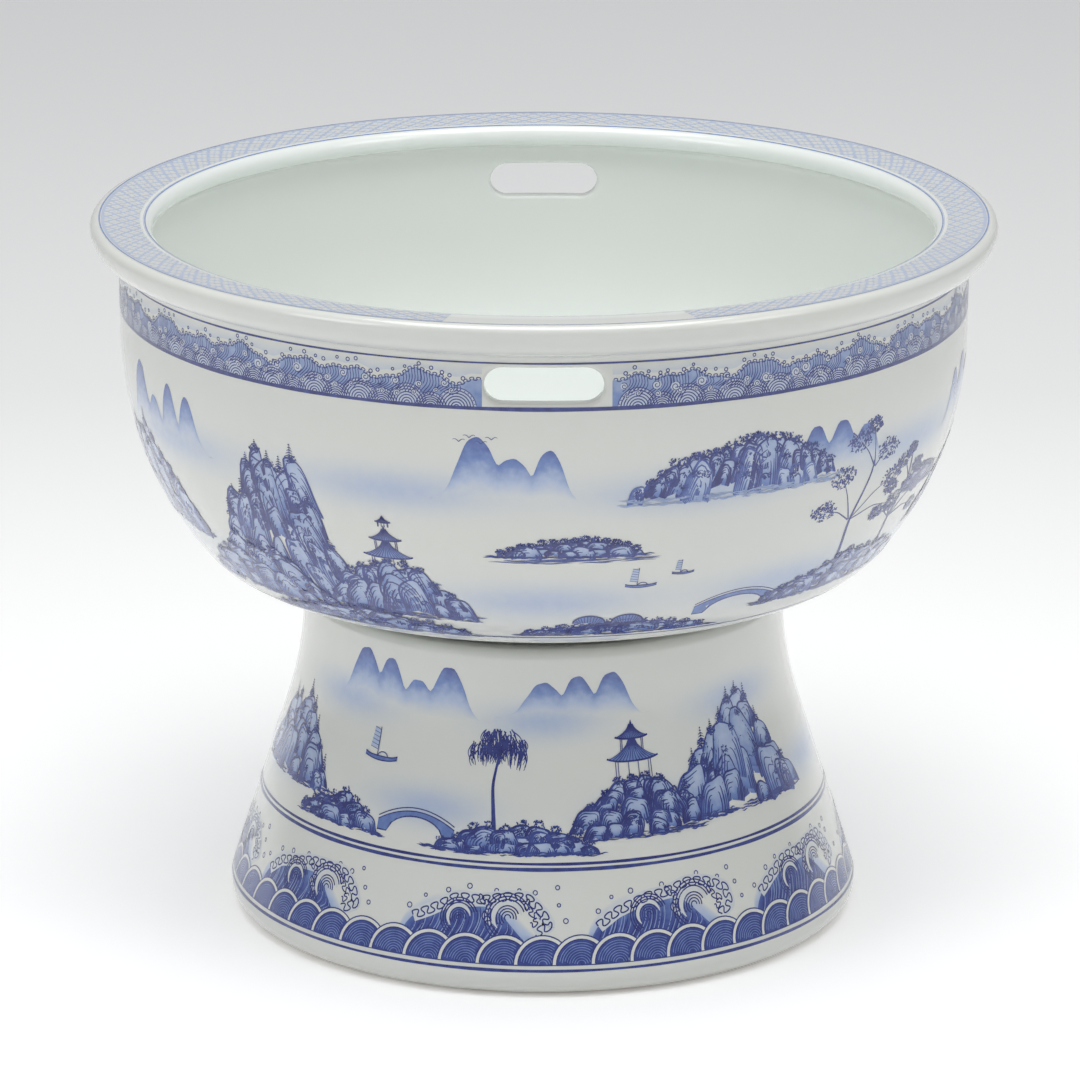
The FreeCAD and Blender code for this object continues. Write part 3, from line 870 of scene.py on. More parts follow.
def wave_band(start_deg, end_deg, rng):
    """The band between two angles, which are the ends that the hand slots leave."""
    brush = Brush(body_face)
    at, r = (0, WAVE_Z), NECK_R
    x0, x1 = np.radians(start_deg) * r, np.radians(end_deg) * r
    x = np.linspace(x0, x1, int((x1 - x0) / 1.6))
    share = np.linspace(0, 1, 5)[:, None]
    brush.sheet(x + 0 * share, crest(x) * share, 0.46 - 0.14 * share + 0 * x, at, lift=0.05)
    haze = crest(x) + (29.5 - crest(x)) * share[1:] ** 0.7
    brush.sheet(x + 0 * share[1:], haze, 0.15 * (1 - share[1:]) + 0 * x, at, lift=0.045)

    pitch = 33.0
    units = int((x1 - x0) / pitch)
    sun_x = x0 + (np.arange(units) + 0.5) * (x1 - x0) / units
    sun_x, sun_r = np.concatenate([sun_x, sun_x + pitch / 2]), np.repeat([11.5, 8.5], units)
    sun_y = np.repeat([0.5, -1.0], units) + rng.uniform(-0.5, 0.5, 2 * units)
    a = np.linspace(np.pi - 0.03, 0.03, 15)
    for centre_x, centre_y, radius in zip(sun_x, sun_y, sun_r):
        if x0 + 4 < centre_x < x1 - 4:
            rho = np.linspace(0.4, radius + 1.9, 3)[:, None]
            brush.sheet(centre_x + rho * np.cos(a), np.maximum(centre_y + rho * np.sin(a), 0.4),
                        np.full((3, 15), 0.17), at, lift=0.07)
    inside = (sun_x > x0 + 4) & (sun_x < x1 - 4)
    sun_x, sun_y, sun_r = sun_x[inside], sun_y[inside], sun_r[inside]
    for share_r in (1.0, 0.83, 0.66, 0.49, 0.32, 0.16):
        lines = circle_lines(sun_x, sun_y, sun_r * share_r, 176, 4)
        brush.lines(*lines, 0.8, 0.9, at)
    lines = circle_lines(sun_x, sun_y, sun_r + 2.0, 172, 8)
    brush.lines(*lines, 0.7, 0.85, at)
    bead = np.linspace(0.2, np.pi - 0.2, 13)
    brush.dabs((sun_x[:, None] + (sun_r[:, None] + 1.0) * np.cos(bead)).ravel(),
               (sun_y[:, None] + (sun_r[:, None] + 1.0) * np.sin(bead)).ravel(),
               np.full(bead.size * len(sun_x), 0.5), np.full(bead.size * len(sun_x), 0.5),
               np.zeros(bead.size * len(sun_x)), 0.85, at, corners=5)

    bundles = int((x1 - x0) / 15.5)
    root = x0 + 4 + (np.arange(bundles) + rng.uniform(0, 0.4, bundles)) * (x1 - x0 - 22) / bundles
    strand = np.arange(7)[None, :, None]
    s = np.linspace(0, 1, 9)[None, None, :]
    lean = rng.uniform(0.7, 1.2, (bundles, 1, 1))
    line_x = root[:, None, None] + strand * 2.0 + lean * (9 * s + 3.0 * np.sin(np.pi * s * 1.3))
    low = 9.5 + 2.0 * np.sin(root)[:, None, None]
    line_y = low + (crest(line_x) - 0.3 - low) * s ** 0.85 - 0.5 * strand * (1 - s)
    brush.lines(line_x.reshape(-1, 9), line_y.reshape(-1, 9), 0.72 - 0.25 * s.reshape(1, 9), 0.88, at, lift=0.11)

    for radius, low_y, high_y, gap in ((2.7, 12.0, 17.5, 17.0), (1.9, 7.0, 12.0, 12.0)):
        count = int((x1 - x0 - 10) / gap)
        curl_x = x0 + 5 + (np.arange(count) + rng.uniform(0, 0.6, count)) * gap
        curl_y = rng.uniform(low_y, high_y, count)
        size = radius * rng.uniform(0.8, 1.25, count)
        brush.dabs(curl_x, curl_y, size * 1.15, size, 0 * size, 0.12, at, lift=0.125, corners=8)
        brush.lines(*spiral_lines(curl_x, curl_y, size * 1.1, rng.uniform(0, 360, count), -1.5), 0.62, 0.9, at,
                    lift=0.14)
    edge_x = np.linspace(x0 + 1, x1 - 1, int((x1 - x0) / 2))
    lobes = meander(edge_x, crest(edge_x), 1.15, 4.6, 0.8, int((x1 - x0) / 0.42))
    brush.lines(*lobes, 0.7, 0.9, at, lift=0.13)
    count = int((x1 - x0) / 8.5)
    drop_x = x0 + 3 + (np.arange(count) + rng.uniform(0, 0.7, count)) * (x1 - x0 - 8) / count
    drop_y = np.minimum(crest(drop_x) + rng.uniform(2.2, 6.0, count), 28.6)
    drops = circle_lines(drop_x, drop_y, rng.uniform(0.9, 1.35, count), 0, 360, 9)
    brush.lines(*drops, 0.75, 0.88, at)
    return brush


SLOT_GAP = (-7.9, 8.7)
front_half = wave_band(SLOT_GAP[1], 180 + SLOT_GAP[0], np.random.default_rng(11))
front_half.finish("wave_band_right", "bowl", "bowl_glaze", line_material)
back_half = wave_band(180 + SLOT_GAP[1], 360 + SLOT_GAP[0], np.random.default_rng(12))
back_half.finish("wave_band_left", "bowl", "bowl_glaze", line_material)

# %% [markdown]
# ## The scallops above the stand's foot
# Overlapping discs stand in a row like fish scales, and each covers the right side of the one before it. An
# arc of one disc ends where it enters the next: for radius p, spacing d and disc radius R, the law of cosines
# gives that angle as the arc cosine of (p*p + d*d - R*R) / (2*p*d).

# %% Scallops
SCALLOPS, SCALLOP_R, RIM_WHITE = 52, 20.5, 3.0


def scallop_row():
    """A dark disc with fine pale arcs and a white rim between two outlines, repeated round the foot."""
    brush = Brush(stand_face)
    at = (0, FOOT_LINES[0])
    pitch = 2 * np.pi * stand_face.r_at(stand_face.t_at(FOOT_LINES[0])) / SCALLOPS
    centre = (np.arange(SCALLOPS) * pitch + SMALL.uniform(-0.5, 0.5, SCALLOPS))[:, None]

    def ends(rho):
        """Where an arc of this radius starts, on the left, and where the next disc covers it."""
        cover = (rho ** 2 + pitch ** 2 - SCALLOP_R ** 2) / (2 * rho * pitch)
        return np.pi, np.arccos(np.clip(cover, -1, 1))

    def arcs(rho, trim, columns=15):
        left, right = ends(rho)
        a = (left - trim) + np.linspace(0, 1, columns) * (right - left + 2 * trim)
        return centre + rho * np.cos(a), 0 * centre + rho * np.sin(a)

    def filled(low, high, rows, value, lift):
        x, y = np.stack([np.stack(arcs(rho, 0.0)) for rho in np.linspace(low, high, rows)], 2)
        for one_x, one_y in zip(x, y):
            brush.sheet(one_x, one_y, np.full(one_x.shape, value), at, lift)

    filled(0.6, SCALLOP_R - RIM_WHITE, 4, 0.80, 0.16)
    filled(SCALLOP_R - RIM_WHITE, SCALLOP_R, 2, 0.0, 0.16)
    brush.lines(*arcs(SCALLOP_R, 0.0), 0.9, 0.9, at, lift=0.19)
    brush.lines(*arcs(SCALLOP_R - RIM_WHITE, 0.01), 0.8, 0.98, at, lift=0.19)
    for number, rho in enumerate(np.arange(3.0, SCALLOP_R - RIM_WHITE - 0.8, 1.75)):
        brush.lines(*arcs(rho, 0.10 + 0.05 * (number % 3)), 0.42, 0.42, at, lift=0.19)
    return brush.finish("foot_scallops", "stand", "stand_glaze", line_material)


scallop_row()

# %% [markdown]
# ## The breaking waves
# Behind the scallops, waves heap up and break to the right. Each has a dark, combed back, two curls whose
# hollows stay pale, a lobed edge of foam, and droplets that fly off it. Ten of them go round the stand, and
# each is drawn a little differently.

# %% One breaking wave
def breaking_wave(brush, deg, size, rng):
    """Body, combing, curls, foam and droplets, from the left end of the wave at this angle."""
    at = (deg, FOOT_LINES[0])
    body_x = np.linspace(0, 104, 53) * size

    def top(x):
        """Back of the wave: two humps that grow to the right."""
        u = np.clip(x / (104 * size), 0, 1)
        return 13 + size * (29 * np.sin(np.pi * u ** 0.8) ** 0.7 + 5 * np.sin(2 * np.pi * u * 2 - 0.8) * u)

    share = np.linspace(0, 1, 6)[:, None]
    halo_y = 8 + (top(body_x) + 7 - 8) * share
    brush.sheet(body_x * 1.08 - 2 + 0 * share, halo_y, 0.34 * (1 - share ** 3), at, lift=0.04)
    tone = 0.80 - 0.28 * share ** 2 + 0.1 * np.sin(body_x / 6) * share
    brush.sheet(body_x + 0 * share, 8 + (top(body_x) - 8) * share, tone, at, lift=0.05)
    count = 46
    s = np.linspace(0, 1, 10)
    root = np.linspace(2, 92, count)[:, None] * size
    bow = rng.uniform(7, 12, (count, 1)) * size
    line_x = root + bow * np.sin(s * 1.9)
    line_y = 12 + (top(line_x) * rng.uniform(0.88, 1.0, (count, 1)) - 12) * s ** 0.9
    pale = (np.arange(count) % 2)[:, None]
    brush.lines(line_x, line_y, 0.75 - 0.3 * s, 0.95 - 0.6 * pale + 0 * s, at, lift=0.09)

    for cx, cy, radius in ((46, 28, 8.5), (84, 30, 10.5)):
        x, y, radius = cx * size, 4 + cy * size, radius * size
        one = np.array([x]), np.array([y])
        hook = np.sin(np.linspace(0.15, np.pi - 0.15, 24))
        curl = circle_lines(*one, np.array([radius * 1.05]), 10, 225, 24)
        brush.lines(*curl, radius * 0.42 * hook, 0.05, at, lift=0.14)
        for grow, end in ((0.84, 215), (1.28, 240), (1.5, 236), (1.72, 232)):
            brush.lines(*circle_lines(*one, np.array([radius * grow]), 20, end, 20), 0.95, 0.97, at, lift=0.145)
        for grow in (0.22, 0.44, 0.64):
            brush.lines(*circle_lines(*one, np.array([radius * grow]), -10, 235, 14), 0.9, 0.93, at, lift=0.145)

    foam = [(6, 24), (22, 34), (44, 42), (62, 43), (80, 47), (98, 46), (112, 36), (116, 25), (104, 19)]
    path = smooth_path(np.array(foam) * size + [0, 4] + rng.uniform(-2, 2, (len(foam), 2)), 90)
    brush.lines(*path, 10.0 * size, 0.07, at, lift=0.115)
    brush.lines(*meander(*path, 3.1 * size, 8.6 * size, 2.0 * size, 460), 1.05, 0.97, at, lift=0.14)
    inner = smooth_path(np.array([(60, 45), (70, 38), (66, 30), (72, 24)]) * size + [0, 4], 40)
    brush.lines(*inner, 4.0 * size, 0.12, at, lift=0.11)
    brush.lines(*meander(*inner, 2.3 * size, 6.8 * size, 1.6 * size, 150), 0.95, 0.95, at, lift=0.14)
    right = smooth_path(np.array([(98, 44), (100, 36), (108, 30), (102, 24)]) * size + [0, 4], 40)
    brush.lines(*meander(*right, 2.3 * size, 6.8 * size, 1.6 * size, 150), 0.95, 0.95, at, lift=0.14)
    drop_x = np.array([4, 18, 34, 56, 74, 92, 108, 122, 128, 120]) * size + rng.uniform(-3, 3, 10)
    drop_y = np.array([38, 46, 50, 54, 53, 55, 52, 44, 32, 56]) * size + rng.uniform(-2, 2, 10)
    brush.lines(*circle_lines(drop_x, np.minimum(drop_y, 61), rng.uniform(1.2, 1.9, 10), 0, 360, 11), 0.8, 0.85, at)


WAVES = 10
rng = np.random.default_rng(21)
brush = Brush(stand_face)
for number in range(WAVES):
    breaking_wave(brush, number * 360 / WAVES - 28 + rng.uniform(-2, 2), rng.uniform(0.86, 1.0), rng)
brush.finish("foot_breaking_waves", "stand", "stand_glaze", line_material)

# %% [markdown]
# ## How the landscape is built
# River landscapes of this old kind use a small set of signs. A rock is a dome with a dark outline, pale in the
# middle, and fine strokes that run down its flanks side by side; a mountain is a heap of such domes, each in
# front of the one above. Leaves are dabs in clumps, far peaks are plain washes that melt into mist. Each sign is
# one function of places and a seeded random source, so a whole bank is a short list of signs.

# %% Domes of rock
class LandBrush(Brush):
    """A brush that also knows the landscape's signs. Things painted later lie a hair higher."""

    def __init__(self, face, patches, seed):
        super().__init__(face)
        self.patches, self.rng, self.level = patches, np.random.default_rng(seed), LIFT

    def rise(self, count=1, step=0.0012):
        """Lifts for the next signs, each above the last."""
        lifts = self.level + step * np.arange(count)
        self.level += step * count
        return lifts

    def sheets(self, x, y, value, at, lift):
        """Many equal grids at once: axes are grid, row, column."""
        points, _ = self.bend(x, y, at, lift)
        n, rows, columns = x.shape
        table = (np.arange(n)[:, None, None] * rows * columns + grid_faces(rows, columns)).reshape(-1, 4)
        self.keep(points, table, value)

    def domes(self, x, y, half, high, at, depth=1.0, strokes=6, lean=0.0):
        """Rocks: a rippled half oval whose foot leans aside, paler in the middle, strokes down its flanks."""
        rng, n = self.rng, len(x)
        x, y, half, high, depth, lean = (np.broadcast_to(np.asarray(v, float), n)[:, None]
                                         for v in (x, y, half, high, depth, lean))
        ripple = rng.uniform(0, 2 * np.pi, (2, n, 1))

        def edge(a, scale):
            size = scale * (1 + 0.09 * np.sin(2 * a + ripple[0]) + 0.05 * np.sin(5 * a + ripple[1]))
            up = np.sin(a)
            up = size * np.where(up > 0, np.abs(up) ** 0.85, 0.22 * up)
            across = size * np.sign(np.cos(a)) * np.abs(np.cos(a)) ** 0.8
            return x + half * across + lean * high * (1 - up), y + high * up

        lift = self.rise(n, 0.0045)[:, None]
        a = np.radians(np.linspace(212, -32, 21)) + np.zeros((n, 1))
        rho = np.linspace(0.05, 1, 5)
        grids = [edge(a, r) for r in rho]
        grid_x, grid_y = (np.stack([g[k] for g in grids], 1) for k in (0, 1))
        low = 1 - np.clip((grid_y - y[:, :, None]) / high[:, :, None], 0, 1)
        left = np.clip(-np.cos(a), 0, 1)[:, None, :] * rho[None, :, None] ** 2
        value = depth[:, :, None] * (0.17 + 0.16 * rho[None, :, None] ** 3 + 0.36 * low ** 1.8 + 0.16 * left)
        self.sheets(grid_x, grid_y, value, at, lift[:, :, None])
        self.lines(*edge(a, 1.0), 0.9 + 0.9 * np.exp(-((a - 2.2) / 0.8) ** 2), 0.97 * depth, at, lift + 0.011)
        s = np.linspace(0, 1, 12)[None, :]
        for number in range(strokes):
            scale = 0.87 - 0.75 / strokes * number + rng.uniform(-0.03, 0.03, (n, 1))
            left = 208 + (rng.uniform(58, 118, (n, 1)) + 5 * number - 208) * s
            right = -28 + (rng.uniform(15, 70, (n, 1)) + 28) * s
            for turned in (left, right)[:2 if number < strokes - 2 else 1]:
                width = rng.uniform(0.85, 1.35, (n, 1)) * (0.4 + 0.6 * np.sin(np.pi * s) ** 0.6)
                self.lines(*edge(np.radians(turned), scale), width, 0.93 * depth, at, lift + 0.010)

    def heap(self, at, places, size, stretch=1.0, depth=1.0, strokes=6, mist=0.0, lean=0.35):
        """A mountain: rocks of mixed size under a ridge line of places (x, height); the foot may melt in mist."""
        rng = self.rng
        ridge = np.array(places, float)
        size = size * 1.3
        high = size * 1.4 * stretch
        columns = np.arange(ridge[0, 0], ridge[-1, 0], size * 1.15)
        rows = np.arange(0, ridge[:, 1].max() + high, high * 0.46)
        x, y = (v.ravel() for v in np.meshgrid(columns, rows))
        x = x + rng.uniform(-0.45, 0.45, x.size) * size
        y = y + rng.uniform(-0.4, 0.4, y.size) * high
        top = np.interp(x, ridge[:, 0], ridge[:, 1])
        grown = 0.5 + 1.0 * rng.random(x.size) ** 2
        kept = (y + high * grown < top + 0.05 * high) & (top > high * 0.3)
        crest_x = np.arange(ridge[0, 0], ridge[-1, 0], size * 0.9) + rng.uniform(-0.2, 0.2) * size
        crest_top = np.interp(crest_x, ridge[:, 0], ridge[:, 1]) + rng.uniform(-0.12, 0.1, crest_x.size) * high
        crest_top = np.maximum(crest_top, 1.5)
        crest_grown = rng.uniform(0.5, 1.1, crest_x.size) * np.clip(crest_top / high, 0.2, 1)
        x = np.concatenate([x[kept], crest_x])
        y = np.concatenate([y[kept], crest_top - high * crest_grown])
        grown = np.concatenate([grown[kept], crest_grown])
        order = np.argsort(-(y + rng.normal(0, 0.28, y.size) * high))
        x, y, grown = x[order], np.maximum(y[order], -1.0), grown[order]
        depth = depth * rng.uniform(0.82, 1.08, x.size)
        if mist:
            depth = depth * np.clip(0.2 + (y + 0.35 * high) / mist, 0.2, 1)
        peak = ridge[np.argmax(ridge[:, 1]), 0]
        aside = lean * np.clip((x - peak) / (0.5 * np.ptp(ridge[:, 0])), -1, 1) + rng.normal(0, 0.06, x.size)
        self.domes(x, y, size * grown ** 0.7, high * grown, at, depth, strokes, aside)
        feet = rng.uniform(ridge[0, 0] - size * 0.4, ridge[-1, 0] + size * 0.4, int(np.ptp(ridge[:, 0]) / 1.3))
        under = rng.uniform(-0.16, 0.08, feet.size) * min(high, 22)
        value = 0.32 if mist else 0.8
        self.hatch(feet + lean * (feet - peak) * 0.2, under, rng.uniform(5, 15, feet.size), at, value, 0.9)
        return crest_x, crest_top

    def leaves(self, x, y, spread, count, at, size=1.0, value=0.92, flat=0.7):
        """Clumps of dabs: each dab lies on one of a clump's lobes, thrown a little aside and turned any way."""
        rng = self.rng
        spread = np.repeat(np.broadcast_to(spread, len(x)), count)
        lobe = np.repeat(rng.uniform(0, 6.28, len(x)), count) + 0.9 * rng.integers(0, 7, spread.size)
        x, y = np.repeat(x, count), np.repeat(y, count)
        off, reach = rng.uniform(0, 2 * np.pi, x.size), rng.uniform(0, 1, x.size) ** 0.6
        x = x + spread * (0.55 * np.cos(lobe) + 0.42 * reach * np.cos(off))
        y = y + spread * flat * (0.6 * np.sin(lobe) + 0.42 * reach * np.sin(off))
        long = size * rng.uniform(0.7, 1.25, x.size)
        turn = rng.uniform(0, np.pi, x.size)
        self.dabs(x, y, long, long * rng.uniform(0.35, 0.6, x.size), turn,
                  value - rng.uniform(0, 0.22, x.size), at, self.rise(1, 0.01)[0], 5)

    def spikes(self, x, y, high, at, value=0.95):
        """Small firs: a stem and short boughs that slope down from it, longer towards the foot."""
        rng = self.rng
        x, y, high = (np.asarray(v, float)[:, None] for v in (x, y, high))
        s = np.linspace(0, 1, 4)[None, :]
        lift = self.rise(1, 0.01)[0]
        self.lines(x + 0 * s, y + high * s, 0.55 - 0.3 * s, value, at, lift)
        for level in np.linspace(0.15, 0.95, 7):
            for side in (-1, 1):
                reach = side * (1.1 - level) * high * rng.uniform(0.25, 0.42, x.shape)
                fall = np.abs(reach) * 0.45 * s
                self.lines(x + reach * s, y + high * level - fall, 0.85 - 0.5 * s, value, at, lift)

    def stems(self, path, width, at, value=0.9):
        """A trunk or bough along a few places, thinning to its end."""
        x, y = smooth_path(path, 26)
        self.lines(x, y, width * (1 - 0.65 * np.linspace(0, 1, x.size)), value, at, self.rise(1, 0.004)[0])

    def tree(self, at, path, width, clumps, leaf=1.0, count=46):
        """A leafy tree: a trunk, a bough to each clump, and the clumps, each x, y and spread."""
        path, clumps = np.array(path, float), np.array(clumps, float)
        self.stems(path, width, at)
        for x, y, _ in clumps:
            below = path[path[:, 1] < y]
            start = below[-1] if len(below) else path[0]
            bowed = (start + [x, y]) / 2 + [0, 0.12 * abs(x - start[0])]
            self.stems([start, bowed, (x, y)], width * 0.4, at)
        self.leaves(clumps[:, 0], clumps[:, 1], clumps[:, 2], count, at, leaf)

    def far_peak(self, at, peaks, tone=0.5, foot=0.0):
        """Far peaks: bell curves, each x, height and half width; the wash fades downwards to what lies beneath."""
        peaks = np.array(peaks, float)
        x = np.linspace((peaks[:, 0] - 2.2 * peaks[:, 2]).min(), (peaks[:, 0] + 2.2 * peaks[:, 2]).max(), 70)
        bell = peaks[:, 1] * np.exp(-(np.abs(x[:, None] - peaks[:, 0]) / peaks[:, 2]) ** 2.5)
        top = (bell ** 5).sum(1) ** (1 / 5) + 0.7 * np.sin(x * 0.55 + at[0]) * np.sin(x * 0.23)
        share = np.linspace(0, 1, 9)[:, None]
        y = foot + (top - foot) * share
        start = self.face.t_at(at[1])
        angle, z = np.radians(at[0]) + x / self.face.r_at(start), self.face.z_at(start + y)
        strength = np.clip(top / peaks[:, 1].max(), 0, 1) ** 0.6
        value = np.maximum(tone * strength * share ** 1.1, wash(self.patches, angle + 0 * y, z))
        self.sheet(x + 0 * share, y, value, at, self.rise(1, 0.004)[0])

    def hatch(self, x, y, long, at, value=0.8, width=0.6, tilt=0.0):
        """Short level strokes with thin ends, as under banks and on water."""
        s = np.linspace(-0.5, 0.5, 7)[None, :]
        x, y, long = (np.asarray(v, float)[:, None] for v in (x, y, long))
        wave = 0.35 * np.sin(s * 7 + x)
        self.lines(x + long * s, y + wave + tilt * long * s, width * (1.05 - 3.6 * s ** 2), value, at,
                   self.rise(1, 0.004)[0])


# %% [markdown]
# ## Things people build
# A few small buildings and boats stand along the river: open pavilions with swept, ribbed roofs on thin
# posts, thatched sheds, a long low bridge, and boats with a square sail. They are drawn with the
# same ribbons, a fine dark line over a pale fill.

# %% Buildings and boats
def pavilion(brush, at, size, tiers=1):
    """A swept roof: ribs fall from the finial to the eaves on a curve that flattens, with posts below."""
    share = np.linspace(0, 1, 9)[None, :]
    for tier in range(tiers):
        scale, base = size * (1 - 0.35 * tier), size * 0.9 * tier
        reach = np.linspace(-1, 1, 15)[:, None]
        rib_x = reach * scale * (0.12 + 0.88 * share ** 1.0)
        rib_y = base + scale * (0.95 - 0.85 * share ** 0.62 + 0.10 * (np.abs(reach) * share) ** 3)
        lift = brush.rise(1, 0.004)[0]
        brush.sheet(rib_x.T[::-1], rib_y.T[::-1], np.full(rib_x.T.shape, 0.5), at, lift)
        lift = brush.rise(1, 0.004)[0]
        brush.lines(rib_x, rib_y, 0.6, 0.92, at, lift)
        eave = np.linspace(-1.06, 1.06, 21)
        eave_y = base + scale * (0.08 + 0.12 * np.abs(eave) ** 3)
        brush.lines(eave * scale, eave_y, 1.3, 0.97, at, lift)
        brush.lines(np.zeros(4), base + scale * np.linspace(0.9, 1.2, 4), [1.0, 1.6, 0.8, 0.3], 0.97, at, lift)
        post = np.array([-0.72, -0.62, -0.2, 0.2, 0.62, 0.72])[:, None] * scale
        fall = np.linspace(0.1, -0.62, 4)[None, :] * scale
        brush.lines(post + 0 * fall, base + fall, 0.55, 0.9, at, lift)


def boat(brush, at, size):
    """A long hull whose ends rise, a mat cabin, and a mast with a ribbed sail."""
    u = np.linspace(-1, 1, 15)
    lift = brush.rise(1, 0.004)[0]
    low, high = size * 0.16 * (u ** 2 - 1), size * (0.05 + 0.14 * u ** 4)
    brush.sheet(np.stack([u, u]) * size, np.stack([low, high]), np.full((2, 15), 0.55), at, lift)
    lift = brush.rise(1, 0.004)[0]
    brush.lines(np.stack([u, u]) * size, np.stack([low, high]), 0.75, 0.95, at, lift)
    cabin = np.linspace(0, np.pi, 9)
    brush.lines(size * (0.1 + 0.3 * np.cos(cabin)), size * (0.06 + 0.22 * np.sin(cabin)), 0.7, 0.92, at, lift)
    mast = np.linspace(0, 1.5, 5) * size
    brush.lines(0 * mast - 0.25 * size, mast, 0.6, 0.92, at, lift)
    v = np.linspace(0, 1, 6)[:, None]
    w = np.linspace(0, 1, 6)[None, :]
    x, y = size * (-0.25 - 0.5 * w + 0.12 * v * w), size * (0.35 + 1.0 * v + 0.1 * w)
    brush.sheet(x[:, ::-1], y[:, ::-1], np.full((6, 6), 0.22), at, lift)
    brush.lines(x, y, 0.4, 0.85, at, lift + 0.002)


def shed(brush, at, size):
    """A mat shed, as on a moored boat: a hatched arch with a dark outline."""
    a = np.linspace(np.pi, 0, 13)
    arch_x, arch_y = size * np.cos(a) * (1 - 0.12 * np.sin(a)), size * 0.72 * np.sin(a) ** 0.8
    lift = brush.rise(1, 0.004)[0]
    brush.sheet(np.stack([arch_x, arch_x]), np.stack([0 * arch_y, arch_y]), np.full((2, 13), 0.5), at, lift)
    share = np.linspace(0, 1, 6)[None, :]
    ribs = np.linspace(2.8, 0.35, 12)[:, None]
    rib_x, rib_y = size * np.cos(ribs) * (0.7 + 0.3 * share), size * 0.72 * np.sin(ribs) * share
    brush.lines(rib_x, rib_y, 0.6, 0.9, at, lift + 0.001)
    brush.lines(arch_x, arch_y, 1.2, 0.97, at, lift + 0.002)


def bridge(brush, at, length):
    """A low bridge: a bowed deck between two fine lines, over one wide arch."""
    u = np.linspace(-0.5, 0.5, 17)
    lift = brush.rise(1, 0.004)[0]
    deck = length * 0.16 * (1 - 4 * u ** 2)
    under = length * (0.22 * np.sqrt(np.clip(1 - (u / 0.36) ** 2, 0, 1)) - 0.12)
    under_and_deck = np.stack([np.minimum(under, deck - 1.5), deck])
    brush.sheet(np.stack([u, u]) * length, under_and_deck, np.full((2, 17), 0.5), at, lift)
    brush.lines(np.stack([u, u]) * length, np.stack([deck, deck + 2.4]), 0.8, 0.95, at, lift + 0.001)
    brush.lines(u * length, np.minimum(under, deck - 1.5), 1.0, 0.95, at, lift + 0.001)


def birds(brush, at, places, size=3.2):
    """Far birds: two wing strokes that meet."""
    x, y = np.array(places, float).T[:, :, None]
    s = np.linspace(0, 1, 5)[None, :]
    for side in (-1, 1):
        brush.lines(x + side * size * s, y + size * (0.5 * np.sin(np.pi * 0.7 * s)) - 0.3 * s, 0.6 * (1 - 0.6 * s),
                    0.9, at, brush.rise(1, 0.002)[0])


def willow(brush, at, x, y, spread, strands):
    """A willow's crown: strands start inside an oval and hang, swaying a little, each a fine tapering line."""
    rng, strands = brush.rng, strands // 2
    start_x = x + spread * rng.uniform(-1, 1, (strands, 1))
    start_y = y + 0.45 * spread * rng.uniform(-1, 1, (strands, 1))
    s = np.linspace(0, 1, 7)[None, :]
    fall = spread * rng.uniform(0.5, 1.3, (strands, 1))
    sway = spread * 0.16 * rng.normal(size=(strands, 1))
    brush.lines(start_x + sway * np.sin(2.2 * s) + 0.2 * (start_x - x) * np.sin(np.pi * s), start_y - fall * s,
                0.9 * (1 - 0.6 * s), 0.9, at, brush.rise(1, 0.01)[0])


# %% [markdown]
# ## The river round the bowl
# The scene is a free one in the old river manner. A firred crag with a tiered tower stands on the left, low
# islands and sails lie in the middle, and a bridge leads to two pines on the right. Each ridge is half a wave
# roughened at random, so no outline is copied from anywhere. The back carries it mirrored and drawn afresh.

# %% Parts of the landscape
def ridge_line(rng, wide, tall, count=8):
    """A ridge: half a sine wave of this width and height, each place on it raised or lowered at random."""
    share = np.linspace(0, 1, count)
    rough = rng.uniform(0.7, 1.1, count)
    return np.column_stack([(share - 0.5) * wide, tall * np.sin(np.pi * (0.05 + 0.9 * share)) * rough])


def crag(brush, at, wide, tall, size=8.5, stretch=1.2, firs=False, mist=0.0):
    """One mountain, with leaves along its ridge and down its side, and firs if asked."""
    rng = brush.rng
    x, y = brush.heap(at, ridge_line(rng, wide, tall), size, stretch, 1.0, 5, mist)
    if firs:
        brush.spikes(x, y - 1, rng.uniform(8, 15, len(x)), at)
    brush.leaves(x, y + 1.5, 5.0, 40, at, 1.0)
    brush.leaves(x, y * rng.uniform(0.2, 0.9, len(y)), 4.0, 30, at, 0.95)


def far_range(brush, at, count, tall, tone=0.68):
    """Misty peaks side by side, 24 mm apart, each as high and as wide as chance has it."""
    x = (np.arange(count) - (count - 1) / 2) * 24
    high, wide = brush.rng.uniform(0.55, 1, count) * tall, brush.rng.uniform(11, 17, count)
    brush.far_peak(at, np.column_stack([x, high, wide]), tone)


def island(brush, at, wide, tall):
    """A long low island with bushes, over level strokes of water."""
    rng = brush.rng
    brush.level = LIFT
    x, y = brush.heap(at, ridge_line(rng, wide, tall), 6.0, 0.6, 1.0, 4)
    brush.leaves(x, y + 2, 4.0, 60, at, 0.9)
    water_x, water_y = rng.uniform(-wide / 2, wide / 2, 24), rng.uniform(-6, -2, 24)
    brush.hatch(water_x, water_y, rng.uniform(14, 36, 24), at, 0.7, 0.7)


def pine(brush, at, tall):
    """A pine: flat layers of needles left and right of a bent trunk, each shorter than the one below."""
    clumps = [((-1) ** k * (0.36 - 0.05 * k) * tall, (0.36 + 0.11 * k) * tall, 0.11 * tall) for k in range(6)]
    brush.tree(at, [(0, 0), (-0.06 * tall, 0.35 * tall), (0.05 * tall, 0.7 * tall), (0, tall)], 3.2,
               clumps + [(0, 0.99 * tall, 0.08 * tall)], 1.2, 150)


